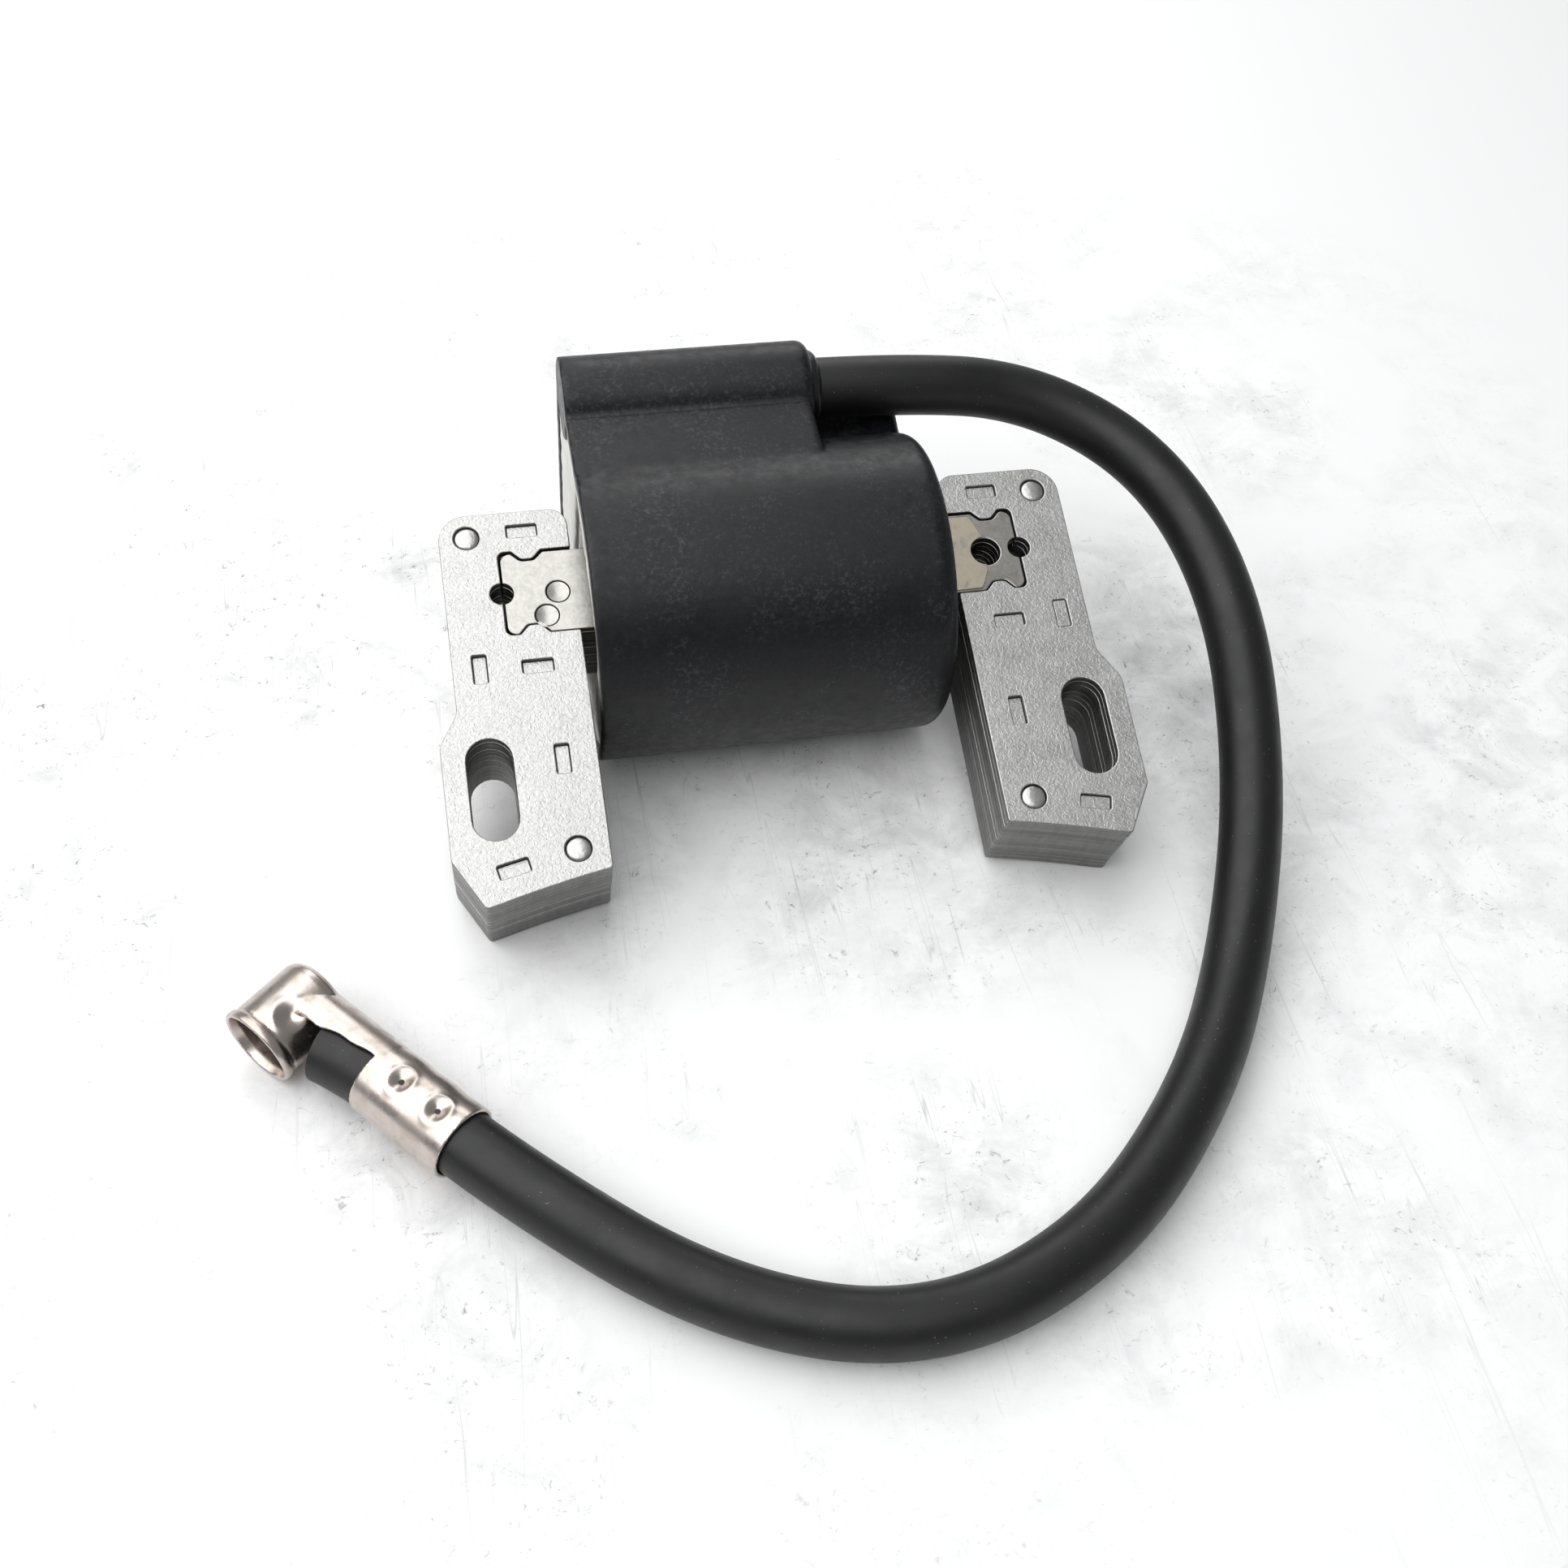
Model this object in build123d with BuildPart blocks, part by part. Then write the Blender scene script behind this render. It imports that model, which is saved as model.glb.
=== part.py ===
from build123d import *
from math import asin, atan2, cos, degrees, hypot, pi, radians, sin, sqrt, tan
import os

# Ignition coil of a small engine: a moulded coil on a laminated, three-piece iron core, with a
# high-tension lead that ends in a sheet-metal spark plug clip.
#
# The coil is drawn square to its laminations: X runs along the coil's axis, Y points away from
# the flywheel, Z is normal to the laminations, and the origin is the middle of the core bar.
# The finished pieces are then laid down in the attitude in which the loose coil rests on a
# table, on the coil housing and the lower ends of both legs. The lead and its clip lie on the
# table already, so they are drawn where they lie. Millimetres throughout.

# ---- laminations -----------------------------------------------------------------------------
SHEET_PITCH = 1.02
SHEET = 1.0                     # the rest of the pitch is the varnish between two sheets
SHEET_COUNT = 12
STACK = SHEET_PITCH * SHEET_COUNT
STACK_TOP = STACK / 2
PLAY = 0.02                     # between pieces that are pressed or glued together

# ---- legs, given for the right leg and mirrored for the left one -----------------------------
LEG_INNER = 21.7                # from the coil's middle to the leg's inner edge
LEG_OUTER = 36.2
LEG_TOP = 10.2
PAD_OUTER = 38.4                # outer edge of the wider pad around the bolt slot
PAD_START = -13.9               # the edge swings out from here
PAD_FULL = -17.5                # and has reached the full width here
PAD_END = -30.6                 # where the pad's chamfer starts
TOE_OUTER = (35.3, -36.2)       # outer corner of the pole face
TOE_INNER_Y = -33.2             # inner corner of the pole face
POLE_RADIUS = 130.0             # sweep of the flywheel's magnets and the air gap
OUTER_CORNER = 3.2
INNER_CORNER = 2.1

SLOT_X = 33.3                   # bolt slots, for M5 or number 10 screws
SLOT_Y = -23.0
SLOT_WIDTH = 5.0
SLOT_LENGTH = 11.7

RIVET_R = 1.35
RIVET_SINK = 0.5                # a rivet's heads lie this deep in the end laminations
RIVET_ROUND = 0.3
LEG_RIVETS = [(33.1, 7.3), (25.1, -30.7)]

INTERLOCK = (3.45, 1.6)         # pressed rectangular interlocks that key the laminations
INTERLOCK_DEPTH = 0.8
LEG_INTERLOCKS = [              # x, y and direction of each one's length
    (26.9, 7.7, 0),
    (33.2, -8.9, 90),
    (26.9, -9.1, 0),
    (25.5, -20.3, 90),
    (32.0, -32.1, -12),
]

# ---- joint between the legs and the core bar -------------------------------------------------
POCKET_END = 29.9               # end wall of the pocket in the leg
POCKET_HALF = 5.17
POCKET_CORNER = 0.8
NOSE_X = 26.7                   # round noses on the pocket's sides lock the bar's head
NOSE_R = 1.6
NOSE_REACH = 4.1                # a nose ends this far from the bar's middle line
JOINT_HOLE_R = 1.3              # hole on the joint, half in the leg and half in the bar

BAR_END = 29.7
BAR_LOW = -5.12                 # the bar sits on the pocket's lower side
BAR_HIGH = 4.85
NOTCH_R = 1.75                  # the bar's notches round the noses
BAR_CORNER = 1.0
TOOL_HOLE = (25.8, -0.2)        # hole in the bar's right head
TOOL_HOLE_R = 1.75
BAR_BUTTONS = [(-23.7, -0.3), (-25.2, -3.1), (-9.0, 0.0), (9.0, 0.0)]
BUTTON_R = 1.35

STRAP_X = (2.0, 26.0)           # earth strap on the bar's right half
STRAP_Y = (-4.9, 4.4)
STRAP_THICK = 0.25

# ---- coil housing ----------------------------------------------------------------------------
BARREL_R = 17.3
BARREL_LEFT = -20.8             # open, potted end
BARREL_RIGHT = 19.4             # closed end
BARREL_ROUND = 2.1
WALL = 1.7
END_WALL = 2.0
TOWER_Y = 21.7                  # axis of the tower that holds the lead
TOWER_Z = 8.95
TOWER_R = 5.55
TOWER_END = 8.0
TOWER_ROUND = 1.3
WEB_END = 7.4                   # the web from the barrel to the tower ends here
WEB_ROUND = 0.8
WEB_OUTLINE = [(6.0, 4.0), (9.2, 14.65), (17.3, 13.0), (24.0, 9.0), (26.6, 6.0), (26.0, 0.0)]
BOX_OUTLINE = [(2.0, -17.15), (22.1, -17.0), (26.4, 4.5), (6.0, 4.5), (2.0, 0.0)]
BOX_CORNER = 4.0
BOX_ROUND = 1.2
CORE_WINDOW_Y = (-5.3, 5.0)     # the core bar leaves through this window in the closed end
CORE_WINDOW_Z = (-6.3, 6.5)

# ---- inside the housing ----------------------------------------------------------------------
POTTING_FACE = -20.6
POTTING_BACK = -17.8
WINDOW = (19.6, 20.6)           # opening in the potting round the bobbin's end flange
TUBE_INSIDE = (11.1, 13.1)      # the primary bobbin's square tube slides over the core bar
TUBE_WALL = 0.85
TUBE_OUTSIDE = (TUBE_INSIDE[0] + 2 * TUBE_WALL, TUBE_INSIDE[1] + 2 * TUBE_WALL)
FLANGE = (19.4, 20.4)
FLANGE_CORNER = 2.0
FLANGE_THICK = 1.0
FLANGE_LEFT = -18.8
FLANGE_RIGHT = 16.2
WEDGE_X = (-20.2, -6.0)         # wedge between the bobbin and the bar
WEDGE_THICK = 0.6
WEDGE_HEAD_TOP = 8.9
WEDGE_WIDTH = 9.0
TRIGGER_X = (-17.7, -15.6)
TRIGGER_DEPTH = 2.4             # build-up of the trigger winding
PRIMARY_X = (-14.4, 16.1)
PRIMARY_DEPTH = 1.95            # build-up of the primary winding
WINDING_CORNER = 3.0
SLEEVE_R = 11.7
SLEEVE_THICK = 0.3
SECONDARY_X = (-14.6, 15.8)
SECONDARY_TUBE_R = 11.75
SECONDARY_TUBE_WALL = 0.7
SECTION_COUNT = 8
SECTION_WALL = 0.7
SECTION_R = 15.2
SECONDARY_FILL_R = 14.7

BOARD_X = (-17.0, 14.5)         # circuit board of the trigger module, standing in the box
BOARD_CORNER = 0.8
BOARD_Y = (18.3, 19.5)
BOARD_Z = (-14.0, 2.2)
TRANSISTOR_X = (-3.0, 7.2)
TRANSISTOR_Z = (-9.0, 1.0)
TRANSISTOR_THICK = 2.2
TRANSISTOR_EYE_R = 1.6
TRANSISTOR_CHAMFER = 0.4
TERMINAL = (0.8, 2.4)           # width and length of the transistor's terminals
TERMINAL_PITCH = 2.3
TERMINAL_DOWN = 1.0             # their middles lie this far below its body
TERMINAL_THICK = 0.5
RESISTOR_PLACES = [(-12.0, -1.0), (-12.0, -4.5)]    # x, z of each resistor's middle
RESISTOR_R = 0.95
RESISTOR_LENGTH = 5.0
DIODE_PLACE = (11.0, -4.0)
DIODE_R = 1.1
DIODE_LENGTH = 4.2
COMPONENT_WIRE_R = 0.3
COMPONENT_LIFT = 0.3            # bodies stand this far off the board
COMPONENT_REACH = 1.0           # their wires run on this far before they bend down

TRIGGER_WIRES = (-16.6, [-6.5, -4.0])               # x, and z of each wire
PRIMARY_WIRES = (-15.1, [-5.2, -2.6])
WIRE_R = 0.35
WIRE_PASS_X = (POTTING_BACK, -14.6)                 # opening in the barrel for the wires
WIRE_PASS_Z = (-8.0, -1.0)

PIN_LEFT = -17.0                # contact pin that enters the lead's conductor
PIN_R = 0.9
PIN_TIP = 3.0
PIN_HEAD_R = 1.9
PIN_HEAD = 1.2
PIN_CHAMFER = 0.5
OUTPUT_WIRE_X = -16.2
OUTPUT_BEND = 1.0
OUTPUT_PASS_Z = (6.4, 10.6)
OUTPUT_START = (12.0, 7.6)      # y, z where the wire leaves the secondary winding

TAB_X = -6.0                    # stop-switch tab: a standard 4.8 mm blade
TAB_Z = -12.6
TAB_WIDTH = 4.8
TAB_THICK = 0.8
TAB_END = 30.5
TAB_EYE_R = 0.7
TAB_EYE_DOWN = 2.4              # from the tab's end to its eye
TAB_CHAMFER = 1.0

# ---- lead and spark plug clip ----------------------------------------------------------------
LEAD_R = 3.5
CONDUCTOR_R = 1.2
SEAL_R = 4.4
SEAL_LENGTH = 1.1
SEAL_ROUND = 0.5

CLIP_OFFSET = 5.0               # the crimp starts this far along the route's last run but one
CLIP_SHEET = 0.5
CRIMP_LENGTH = 11.9
CRIMP_INNER = 3.55
CRIMP_SEAM = 0.5                # gap where the rolled sheet meets, and where it lies
SEAM_AT = -30                   # degrees up from the side that the cup opens to
NECK_END = 22.4
NECK_STEP = 0.2                 # the neck steps away from the lead by this much
NECK_ARC = (95, 205)            # degrees round the lead that the neck covers
TANG_R = 0.45                   # a tang in the crimp pierces the lead down to its conductor
TANG_ALONG = 6.0
CUP_ALONG = 23.7                # from the crimp's edge to the cup's axis
CUP_R = 4.25
CUP_BACK = -3.6                 # the cup lies across the lead, from its back to its mouth
CUP_MOUTH = 5.6
CUP_DROP = 1.5                  # degrees that the mouth looks down to the table
CUP_ROUND = 1.0
BEAD_R = 4.5
BEAD_LENGTH = 1.3

# ---- the loose coil's resting attitude -------------------------------------------------------
# The housing's barrel touches the table along a line, and the legs touch it with their lower
# outer corners, which sets the tilt of the laminations.
TOE_DISTANCE = hypot(TOE_OUTER[1], STACK_TOP)
TILT = asin(BARREL_R / TOE_DISTANCE) - atan2(STACK_TOP, -TOE_OUTER[1])
REST_SHIFT = 1.6                # brings the middle of the resting coil's footprint to the origin
RESTING = Location((0, REST_SHIFT, BARREL_R), (degrees(TILT), 0, 0))

SOCKET_Y = TOWER_Y * cos(TILT) - TOWER_Z * sin(TILT) + REST_SHIFT
SOCKET_Z = TOWER_Y * sin(TILT) + TOWER_Z * cos(TILT) + BARREL_R

# The route of the lead, from the bottom of its socket in the tower to its cut end in the clip.
LEAD_ROUTE = [
    (0, SOCKET_Y, SOCKET_Z),
    (18, SOCKET_Y, SOCKET_Z),
    (36, 20.0, 29.3),
    (49.5, 9.1, 25.5),
    (54, -8.9, 20.3),
    (52, -28.4, 11.5),
    (46, -45.9, 3.8),
    (36, -62.4, 3.6),
    (20.5, -77.4, 3.6),
    (1.5, -83.9, 3.6),
    (-18, -77.6, 3.6),
    (-36.7, -61.5, 4.9),
    (-48.9, -47.5, 4.9),
    (-52.9, -44.7, 4.9),
]

os.makedirs("parts", exist_ok=True)


def write(builder, label):
    """Label a finished piece and write it as one STEP file."""
    builder.part.label = label
    export_step(builder.part, f"parts/{label}.step")


def write_resting(builder, label):
    """Lay a piece of the coil down in its resting attitude, then write it."""
    builder.part.locate(RESTING)
    write(builder, label)


def span(limits):
    """Length and middle of a stretch given by its two limits."""
    return limits[1] - limits[0], (limits[0] + limits[1]) / 2


def polygon(points):
    """Flat face with the given corners."""
    with BuildSketch() as outline:
        with BuildLine():
            Polyline(*points, close=True)
        make_face()
    return outline.sketch


# ---- laminations -----------------------------------------------------------------------------
def lamination(outline, interlocks, top, is_last):
    """One sheet: its interlocks are pressed down into the sheet below, the last one's are cut."""
    with BuildPart() as sheet:
        with BuildSketch(Plane.XY.offset(top)):
            add(outline)
        extrude(amount=-SHEET)
        with BuildSketch(Plane.XY.offset(top)):
            add(interlocks)
        extrude(amount=-SHEET if is_last else -INTERLOCK_DEPTH, mode=Mode.SUBTRACT)
        if not is_last:
            with BuildSketch(Plane.XY.offset(top - SHEET)):
                offset(interlocks, amount=-PLAY, kind=Kind.INTERSECTION)
            extrude(amount=-INTERLOCK_DEPTH)
    return sheet.part


def lamination_stack(outline, interlocks):
    """All sheets of one stack, from the top one down."""
    tops = [STACK_TOP - number * SHEET_PITCH for number in range(SHEET_COUNT)]
    return [lamination(outline, interlocks, top, top == tops[-1]) for top in tops]


POLE_CENTRE_Y = TOE_INNER_Y - sqrt(POLE_RADIUS ** 2 - LEG_INNER ** 2)
POLE_MIDDLE_X = span((LEG_INNER, TOE_OUTER[0]))[1]
POLE_MIDDLE = (POLE_MIDDLE_X, POLE_CENTRE_Y + sqrt(POLE_RADIUS ** 2 - POLE_MIDDLE_X ** 2))
POCKET_DEPTH, POCKET_MIDDLE = span((LEG_INNER, POCKET_END))

with BuildSketch() as leg_outline:
    with BuildLine():
        Polyline(
            (LEG_INNER, TOE_INNER_Y),
            (LEG_INNER, LEG_TOP),
            (LEG_OUTER, LEG_TOP),
            (LEG_OUTER, PAD_START),
        )
        Spline(
            (LEG_OUTER, PAD_START),
            (PAD_OUTER, PAD_FULL),
            tangents=((0, -1), (0, -1)),
        )
        Polyline((PAD_OUTER, PAD_FULL), (PAD_OUTER, PAD_END), TOE_OUTER)
        ThreePointArc(TOE_OUTER, POLE_MIDDLE, (LEG_INNER, TOE_INNER_Y))
    make_face()
    fillet(leg_outline.vertices().group_by(Axis.Y)[-1].sort_by(Axis.X)[-1], OUTER_CORNER)
    fillet(leg_outline.vertices().group_by(Axis.X)[0].sort_by(Axis.Y)[-1], INNER_CORNER)
    with Locations((POCKET_MIDDLE, 0)):
        Rectangle(POCKET_DEPTH, 2 * POCKET_HALF, mode=Mode.SUBTRACT)
    fillet(
        leg_outline.vertices().filter_by_position(Axis.X, POCKET_END - PLAY, POCKET_END + PLAY),
        POCKET_CORNER,
    )
    with Locations((NOSE_X, NOSE_REACH + NOSE_R), (NOSE_X, -NOSE_REACH - NOSE_R)):
        Circle(NOSE_R)
    with Locations((POCKET_END, 0)):
        Circle(JOINT_HOLE_R, mode=Mode.SUBTRACT)
    with Locations((SLOT_X, SLOT_Y)):
        SlotOverall(SLOT_LENGTH, SLOT_WIDTH, rotation=90, mode=Mode.SUBTRACT)
    with Locations(*LEG_RIVETS):
        Circle(RIVET_R + PLAY, mode=Mode.SUBTRACT)

with BuildSketch() as leg_interlocks:
    for x, y, turn in LEG_INTERLOCKS:
        with Locations(Location((x, y), turn)):
            Rectangle(*INTERLOCK)

with BuildPart() as right_leg_laminations:
    for sheet in lamination_stack(leg_outline.sketch, leg_interlocks.sketch):
        add(sheet)

with BuildPart() as left_leg_laminations:
    mirror(right_leg_laminations.part, about=Plane.YZ)

BAR_WIDTH, BAR_MIDDLE_Y = span((BAR_LOW, BAR_HIGH))

with BuildSketch() as bar_outline:
    with Locations((0, BAR_MIDDLE_Y)):
        RectangleRounded(2 * BAR_END, BAR_WIDTH, BAR_CORNER)
    for side in (-1, 1):
        with Locations(
            (side * NOSE_X, NOSE_REACH + NOSE_R),
            (side * NOSE_X, -NOSE_REACH - NOSE_R),
        ):
            Circle(NOTCH_R, mode=Mode.SUBTRACT)
        with Locations((side * POCKET_END, 0)):
            Circle(JOINT_HOLE_R, mode=Mode.SUBTRACT)
    with Locations(TOOL_HOLE):
        Circle(TOOL_HOLE_R, mode=Mode.SUBTRACT)

with BuildSketch() as bar_buttons:
    with Locations(*BAR_BUTTONS):
        Circle(BUTTON_R)

with BuildPart() as core_bar_laminations:
    for sheet in lamination_stack(bar_outline.sketch, bar_buttons.sketch):
        add(sheet)

RIVET_LENGTH = STACK - 2 * RIVET_SINK

with BuildPart() as leg_rivets:
    for side in (-1, 1):
        for x, y in LEG_RIVETS:
            with Locations((side * x, y, 0)):
                Cylinder(RIVET_R, RIVET_LENGTH)
    fillet(leg_rivets.edges().filter_by(GeomType.CIRCLE), RIVET_ROUND)

STRAP_LENGTH, STRAP_MIDDLE_X = span(STRAP_X)
STRAP_WIDTH, STRAP_MIDDLE_Y = span(STRAP_Y)

with BuildPart() as earth_strap:
    with BuildSketch(Plane.XY.offset(STACK_TOP)):
        with Locations((STRAP_MIDDLE_X, STRAP_MIDDLE_Y)):
            Rectangle(STRAP_LENGTH, STRAP_WIDTH)
        with Locations(TOOL_HOLE):
            Circle(TOOL_HOLE_R, mode=Mode.SUBTRACT)
    extrude(amount=STRAP_THICK)


# ---- coil housing ----------------------------------------------------------------------------
def across(x):
    """Plane square to the coil's axis: its own x is the coil's Y, and its own y the coil's Z."""
    return Plane.YZ.offset(x)


with BuildSketch() as box_section:
    add(polygon(BOX_OUTLINE))
    fillet(box_section.vertices().sort_by(Axis.Y)[:2].sort_by(Axis.X)[-1], BOX_CORNER)

with BuildSketch() as open_end_section:
    Circle(BARREL_R)
    add(box_section.sketch)
    add(polygon(WEB_OUTLINE))

HOUSING_LENGTH = BARREL_RIGHT - BARREL_LEFT

with BuildPart() as box_block:
    with BuildSketch(across(BARREL_LEFT)):
        add(box_section.sketch)
    extrude(amount=HOUSING_LENGTH)
    fillet(box_block.faces().sort_by(Axis.X)[-1].edges(), BOX_ROUND)

with BuildPart() as web_block:
    with BuildSketch(across(BARREL_LEFT)):
        add(polygon(WEB_OUTLINE))
    extrude(amount=WEB_END - BARREL_LEFT)
    fillet(web_block.faces().sort_by(Axis.X)[-1].edges(), WEB_ROUND)

with BuildPart() as tower_block:
    with BuildSketch(across(BARREL_LEFT)):
        with Locations((TOWER_Y, TOWER_Z)):
            Circle(TOWER_R)
    extrude(amount=TOWER_END - BARREL_LEFT)
    fillet(tower_block.faces().sort_by(Axis.X)[-1].edges(), TOWER_ROUND)

with BuildPart() as coil_housing:
    with BuildSketch(across(BARREL_LEFT)):
        Circle(BARREL_R)
    extrude(amount=HOUSING_LENGTH)
    fillet(coil_housing.faces().sort_by(Axis.X)[-1].edges(), BARREL_ROUND)
    add(box_block.part)
    add(web_block.part)
    add(tower_block.part)

    # the open end is one recess for the potting, all round inside a thin rim
    with BuildSketch(across(BARREL_LEFT)):
        offset(open_end_section.sketch, amount=-WALL, kind=Kind.INTERSECTION)
        with Locations((TOWER_Y, TOWER_Z)):
            Circle(TOWER_R - WALL, mode=Mode.SUBTRACT)
    extrude(amount=POTTING_BACK - BARREL_LEFT, mode=Mode.SUBTRACT)

    # the barrel's bore, and the module box beside it
    with BuildSketch(across(POTTING_BACK)):
        Circle(BARREL_R - WALL)
    extrude(amount=BARREL_RIGHT - END_WALL - POTTING_BACK, mode=Mode.SUBTRACT)
    with BuildSketch(across(POTTING_BACK)):
        offset(box_section.sketch, amount=-WALL, kind=Kind.INTERSECTION)
        Circle(BARREL_R, mode=Mode.SUBTRACT)
    extrude(amount=BARREL_RIGHT - END_WALL - POTTING_BACK, mode=Mode.SUBTRACT)

    # window for the core bar
    window_width, window_y = span(CORE_WINDOW_Y)
    window_height, window_z = span(CORE_WINDOW_Z)
    with BuildSketch(across(BARREL_RIGHT)):
        with Locations((window_y, window_z)):
            Rectangle(window_width, window_height)
    extrude(amount=-2 * END_WALL, mode=Mode.SUBTRACT)

    # socket for the lead, and the hole behind it for the contact pin
    with BuildSketch(across(TOWER_END)):
        with Locations((TOWER_Y, TOWER_Z)):
            Circle(LEAD_R + PLAY)
    extrude(amount=-TOWER_END, mode=Mode.SUBTRACT)
    with BuildSketch(across(0)):
        with Locations((TOWER_Y, TOWER_Z)):
            Circle(PIN_HEAD_R + PLAY)
    extrude(amount=-PIN_HEAD, mode=Mode.SUBTRACT)
    with BuildSketch(across(0)):
        with Locations((TOWER_Y, TOWER_Z)):
            Circle(PIN_R + PLAY)
    extrude(amount=PIN_LEFT, mode=Mode.SUBTRACT)

    # openings in the barrel for the module's wires and the secondary winding's wire
    pass_length, pass_x = span(WIRE_PASS_X)
    wire_pass_height, wire_pass_z = span(WIRE_PASS_Z)
    with Locations((pass_x, BARREL_R - WALL, wire_pass_z)):
        Box(pass_length, 4 * WALL, wire_pass_height, mode=Mode.SUBTRACT)
    output_pass_height, output_pass_z = span(OUTPUT_PASS_Z)
    with Locations((pass_x, TOWER_Y, output_pass_z)):
        Box(
            pass_length,
            2 * (TOWER_Y - OUTPUT_START[0]),
            output_pass_height,
            align=(Align.CENTER, Align.MAX, Align.CENTER),
            mode=Mode.SUBTRACT,
        )

    # slit for the stop-switch tab
    with Locations((TAB_X, TAB_END, TAB_Z)):
        Box(
            TAB_WIDTH + 2 * PLAY,
            TAB_END - BOARD_Y[1],
            TAB_THICK + 2 * PLAY,
            align=(Align.CENTER, Align.MAX, Align.CENTER),
            mode=Mode.SUBTRACT,
        )

with BuildPart() as end_potting:
    with BuildSketch(across(POTTING_BACK)):
        offset(open_end_section.sketch, amount=-WALL - PLAY, kind=Kind.INTERSECTION)
        with Locations((TOWER_Y, TOWER_Z)):
            Circle(TOWER_R - WALL + PLAY, mode=Mode.SUBTRACT)
        Rectangle(*WINDOW, mode=Mode.SUBTRACT)
    extrude(amount=POTTING_FACE - POTTING_BACK)

# ---- windings and bobbins --------------------------------------------------------------------
with BuildPart() as primary_bobbin:
    with BuildSketch(across(FLANGE_LEFT)):
        Rectangle(*TUBE_OUTSIDE)
    extrude(amount=FLANGE_RIGHT + FLANGE_THICK - FLANGE_LEFT)
    with BuildSketch(across(FLANGE_LEFT), across(FLANGE_RIGHT)):
        RectangleRounded(*FLANGE, FLANGE_CORNER)
    extrude(amount=FLANGE_THICK)
    with BuildSketch(across(FLANGE_LEFT)):
        Rectangle(*TUBE_INSIDE)
    extrude(amount=FLANGE_RIGHT + FLANGE_THICK - FLANGE_LEFT, mode=Mode.SUBTRACT)

with BuildPart() as core_wedge:
    with BuildSketch(Plane.XY):
        with BuildLine():
            Polyline(
                (WEDGE_X[1], BAR_HIGH),
                (WEDGE_X[1], BAR_HIGH + WEDGE_THICK / 2),
                (FLANGE_LEFT - PLAY, BAR_HIGH + WEDGE_THICK),
                (FLANGE_LEFT - PLAY, WEDGE_HEAD_TOP),
                (WEDGE_X[0], WEDGE_HEAD_TOP),
                (WEDGE_X[0], BAR_HIGH),
                close=True,
            )
        make_face()
    extrude(amount=WEDGE_WIDTH / 2, both=True)


def square_winding(limits, depth):
    """Winding on the square tube, with the rounded corners of its build-up."""
    length = span(limits)[0]
    with BuildPart() as winding:
        with BuildSketch(across(limits[0])):
            RectangleRounded(
                TUBE_OUTSIDE[0] + 2 * depth,
                TUBE_OUTSIDE[1] + 2 * depth,
                WINDING_CORNER,
            )
            Rectangle(TUBE_OUTSIDE[0] + 2 * PLAY, TUBE_OUTSIDE[1] + 2 * PLAY, mode=Mode.SUBTRACT)
        extrude(amount=length)
    return winding.part


def ring(limits, inner, outer):
    """Round ring on the coil's axis."""
    with BuildPart() as body:
        with BuildSketch(across(limits[0])):
            Circle(outer)
            Circle(inner, mode=Mode.SUBTRACT)
        extrude(amount=span(limits)[0])
    return body.part


with BuildPart() as primary_winding:
    add(square_winding(PRIMARY_X, PRIMARY_DEPTH))

with BuildPart() as trigger_winding:
    add(square_winding(TRIGGER_X, TRIGGER_DEPTH))

with BuildPart() as winding_sleeve:
    add(ring(SECONDARY_X, SLEEVE_R - SLEEVE_THICK, SLEEVE_R))

SECTION_PITCH = (span(SECONDARY_X)[0] - SECTION_WALL) / SECTION_COUNT
SECTION_STARTS = [SECONDARY_X[0] + number * SECTION_PITCH for number in range(SECTION_COUNT + 1)]
SECONDARY_CORE_R = SECONDARY_TUBE_R + SECONDARY_TUBE_WALL

with BuildPart() as secondary_bobbin:
    add(ring(SECONDARY_X, SECONDARY_TUBE_R, SECONDARY_CORE_R))
    for start in SECTION_STARTS:
        add(ring((start, start + SECTION_WALL), SECONDARY_TUBE_R, SECTION_R))

with BuildPart() as secondary_winding:
    for start in SECTION_STARTS[:-1]:
        section = (start + SECTION_WALL + PLAY, start + SECTION_PITCH - PLAY)
        add(ring(section, SECONDARY_CORE_R + PLAY, SECONDARY_FILL_R))

# ---- trigger module --------------------------------------------------------------------------
BOARD_FACE = Plane(origin=(0, BOARD_Y[1], 0), x_dir=(1, 0, 0), z_dir=(0, 1, 0))


def on_board(x, z):
    """Point of the board's component side, in the plane's own directions."""
    return (x, -z)


with BuildPart() as trigger_board:
    board_length, board_x = span(BOARD_X)
    board_height, board_z = span(BOARD_Z)
    with BuildSketch(BOARD_FACE):
        with Locations(on_board(board_x, board_z)):
            RectangleRounded(board_length, board_height, BOARD_CORNER)
    extrude(amount=BOARD_Y[0] - BOARD_Y[1])

with BuildPart() as power_transistor:
    body_length, body_x = span(TRANSISTOR_X)
    body_height, body_z = span(TRANSISTOR_Z)
    with BuildSketch(BOARD_FACE):
        with Locations(on_board(body_x, body_z)):
            Rectangle(body_length, body_height)
            Circle(TRANSISTOR_EYE_R, mode=Mode.SUBTRACT)
    extrude(amount=TRANSISTOR_THICK)
    chamfer(power_transistor.faces().sort_by(Axis.Y)[-1].outer_wire().edges(), TRANSISTOR_CHAMFER)
    with BuildSketch(BOARD_FACE):
        for number in (-1, 0, 1):
            terminal_x = body_x + number * TERMINAL_PITCH
            with Locations(on_board(terminal_x, TRANSISTOR_Z[0] - TERMINAL_DOWN)):
                Rectangle(*TERMINAL)
    extrude(amount=TERMINAL_THICK)


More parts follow.
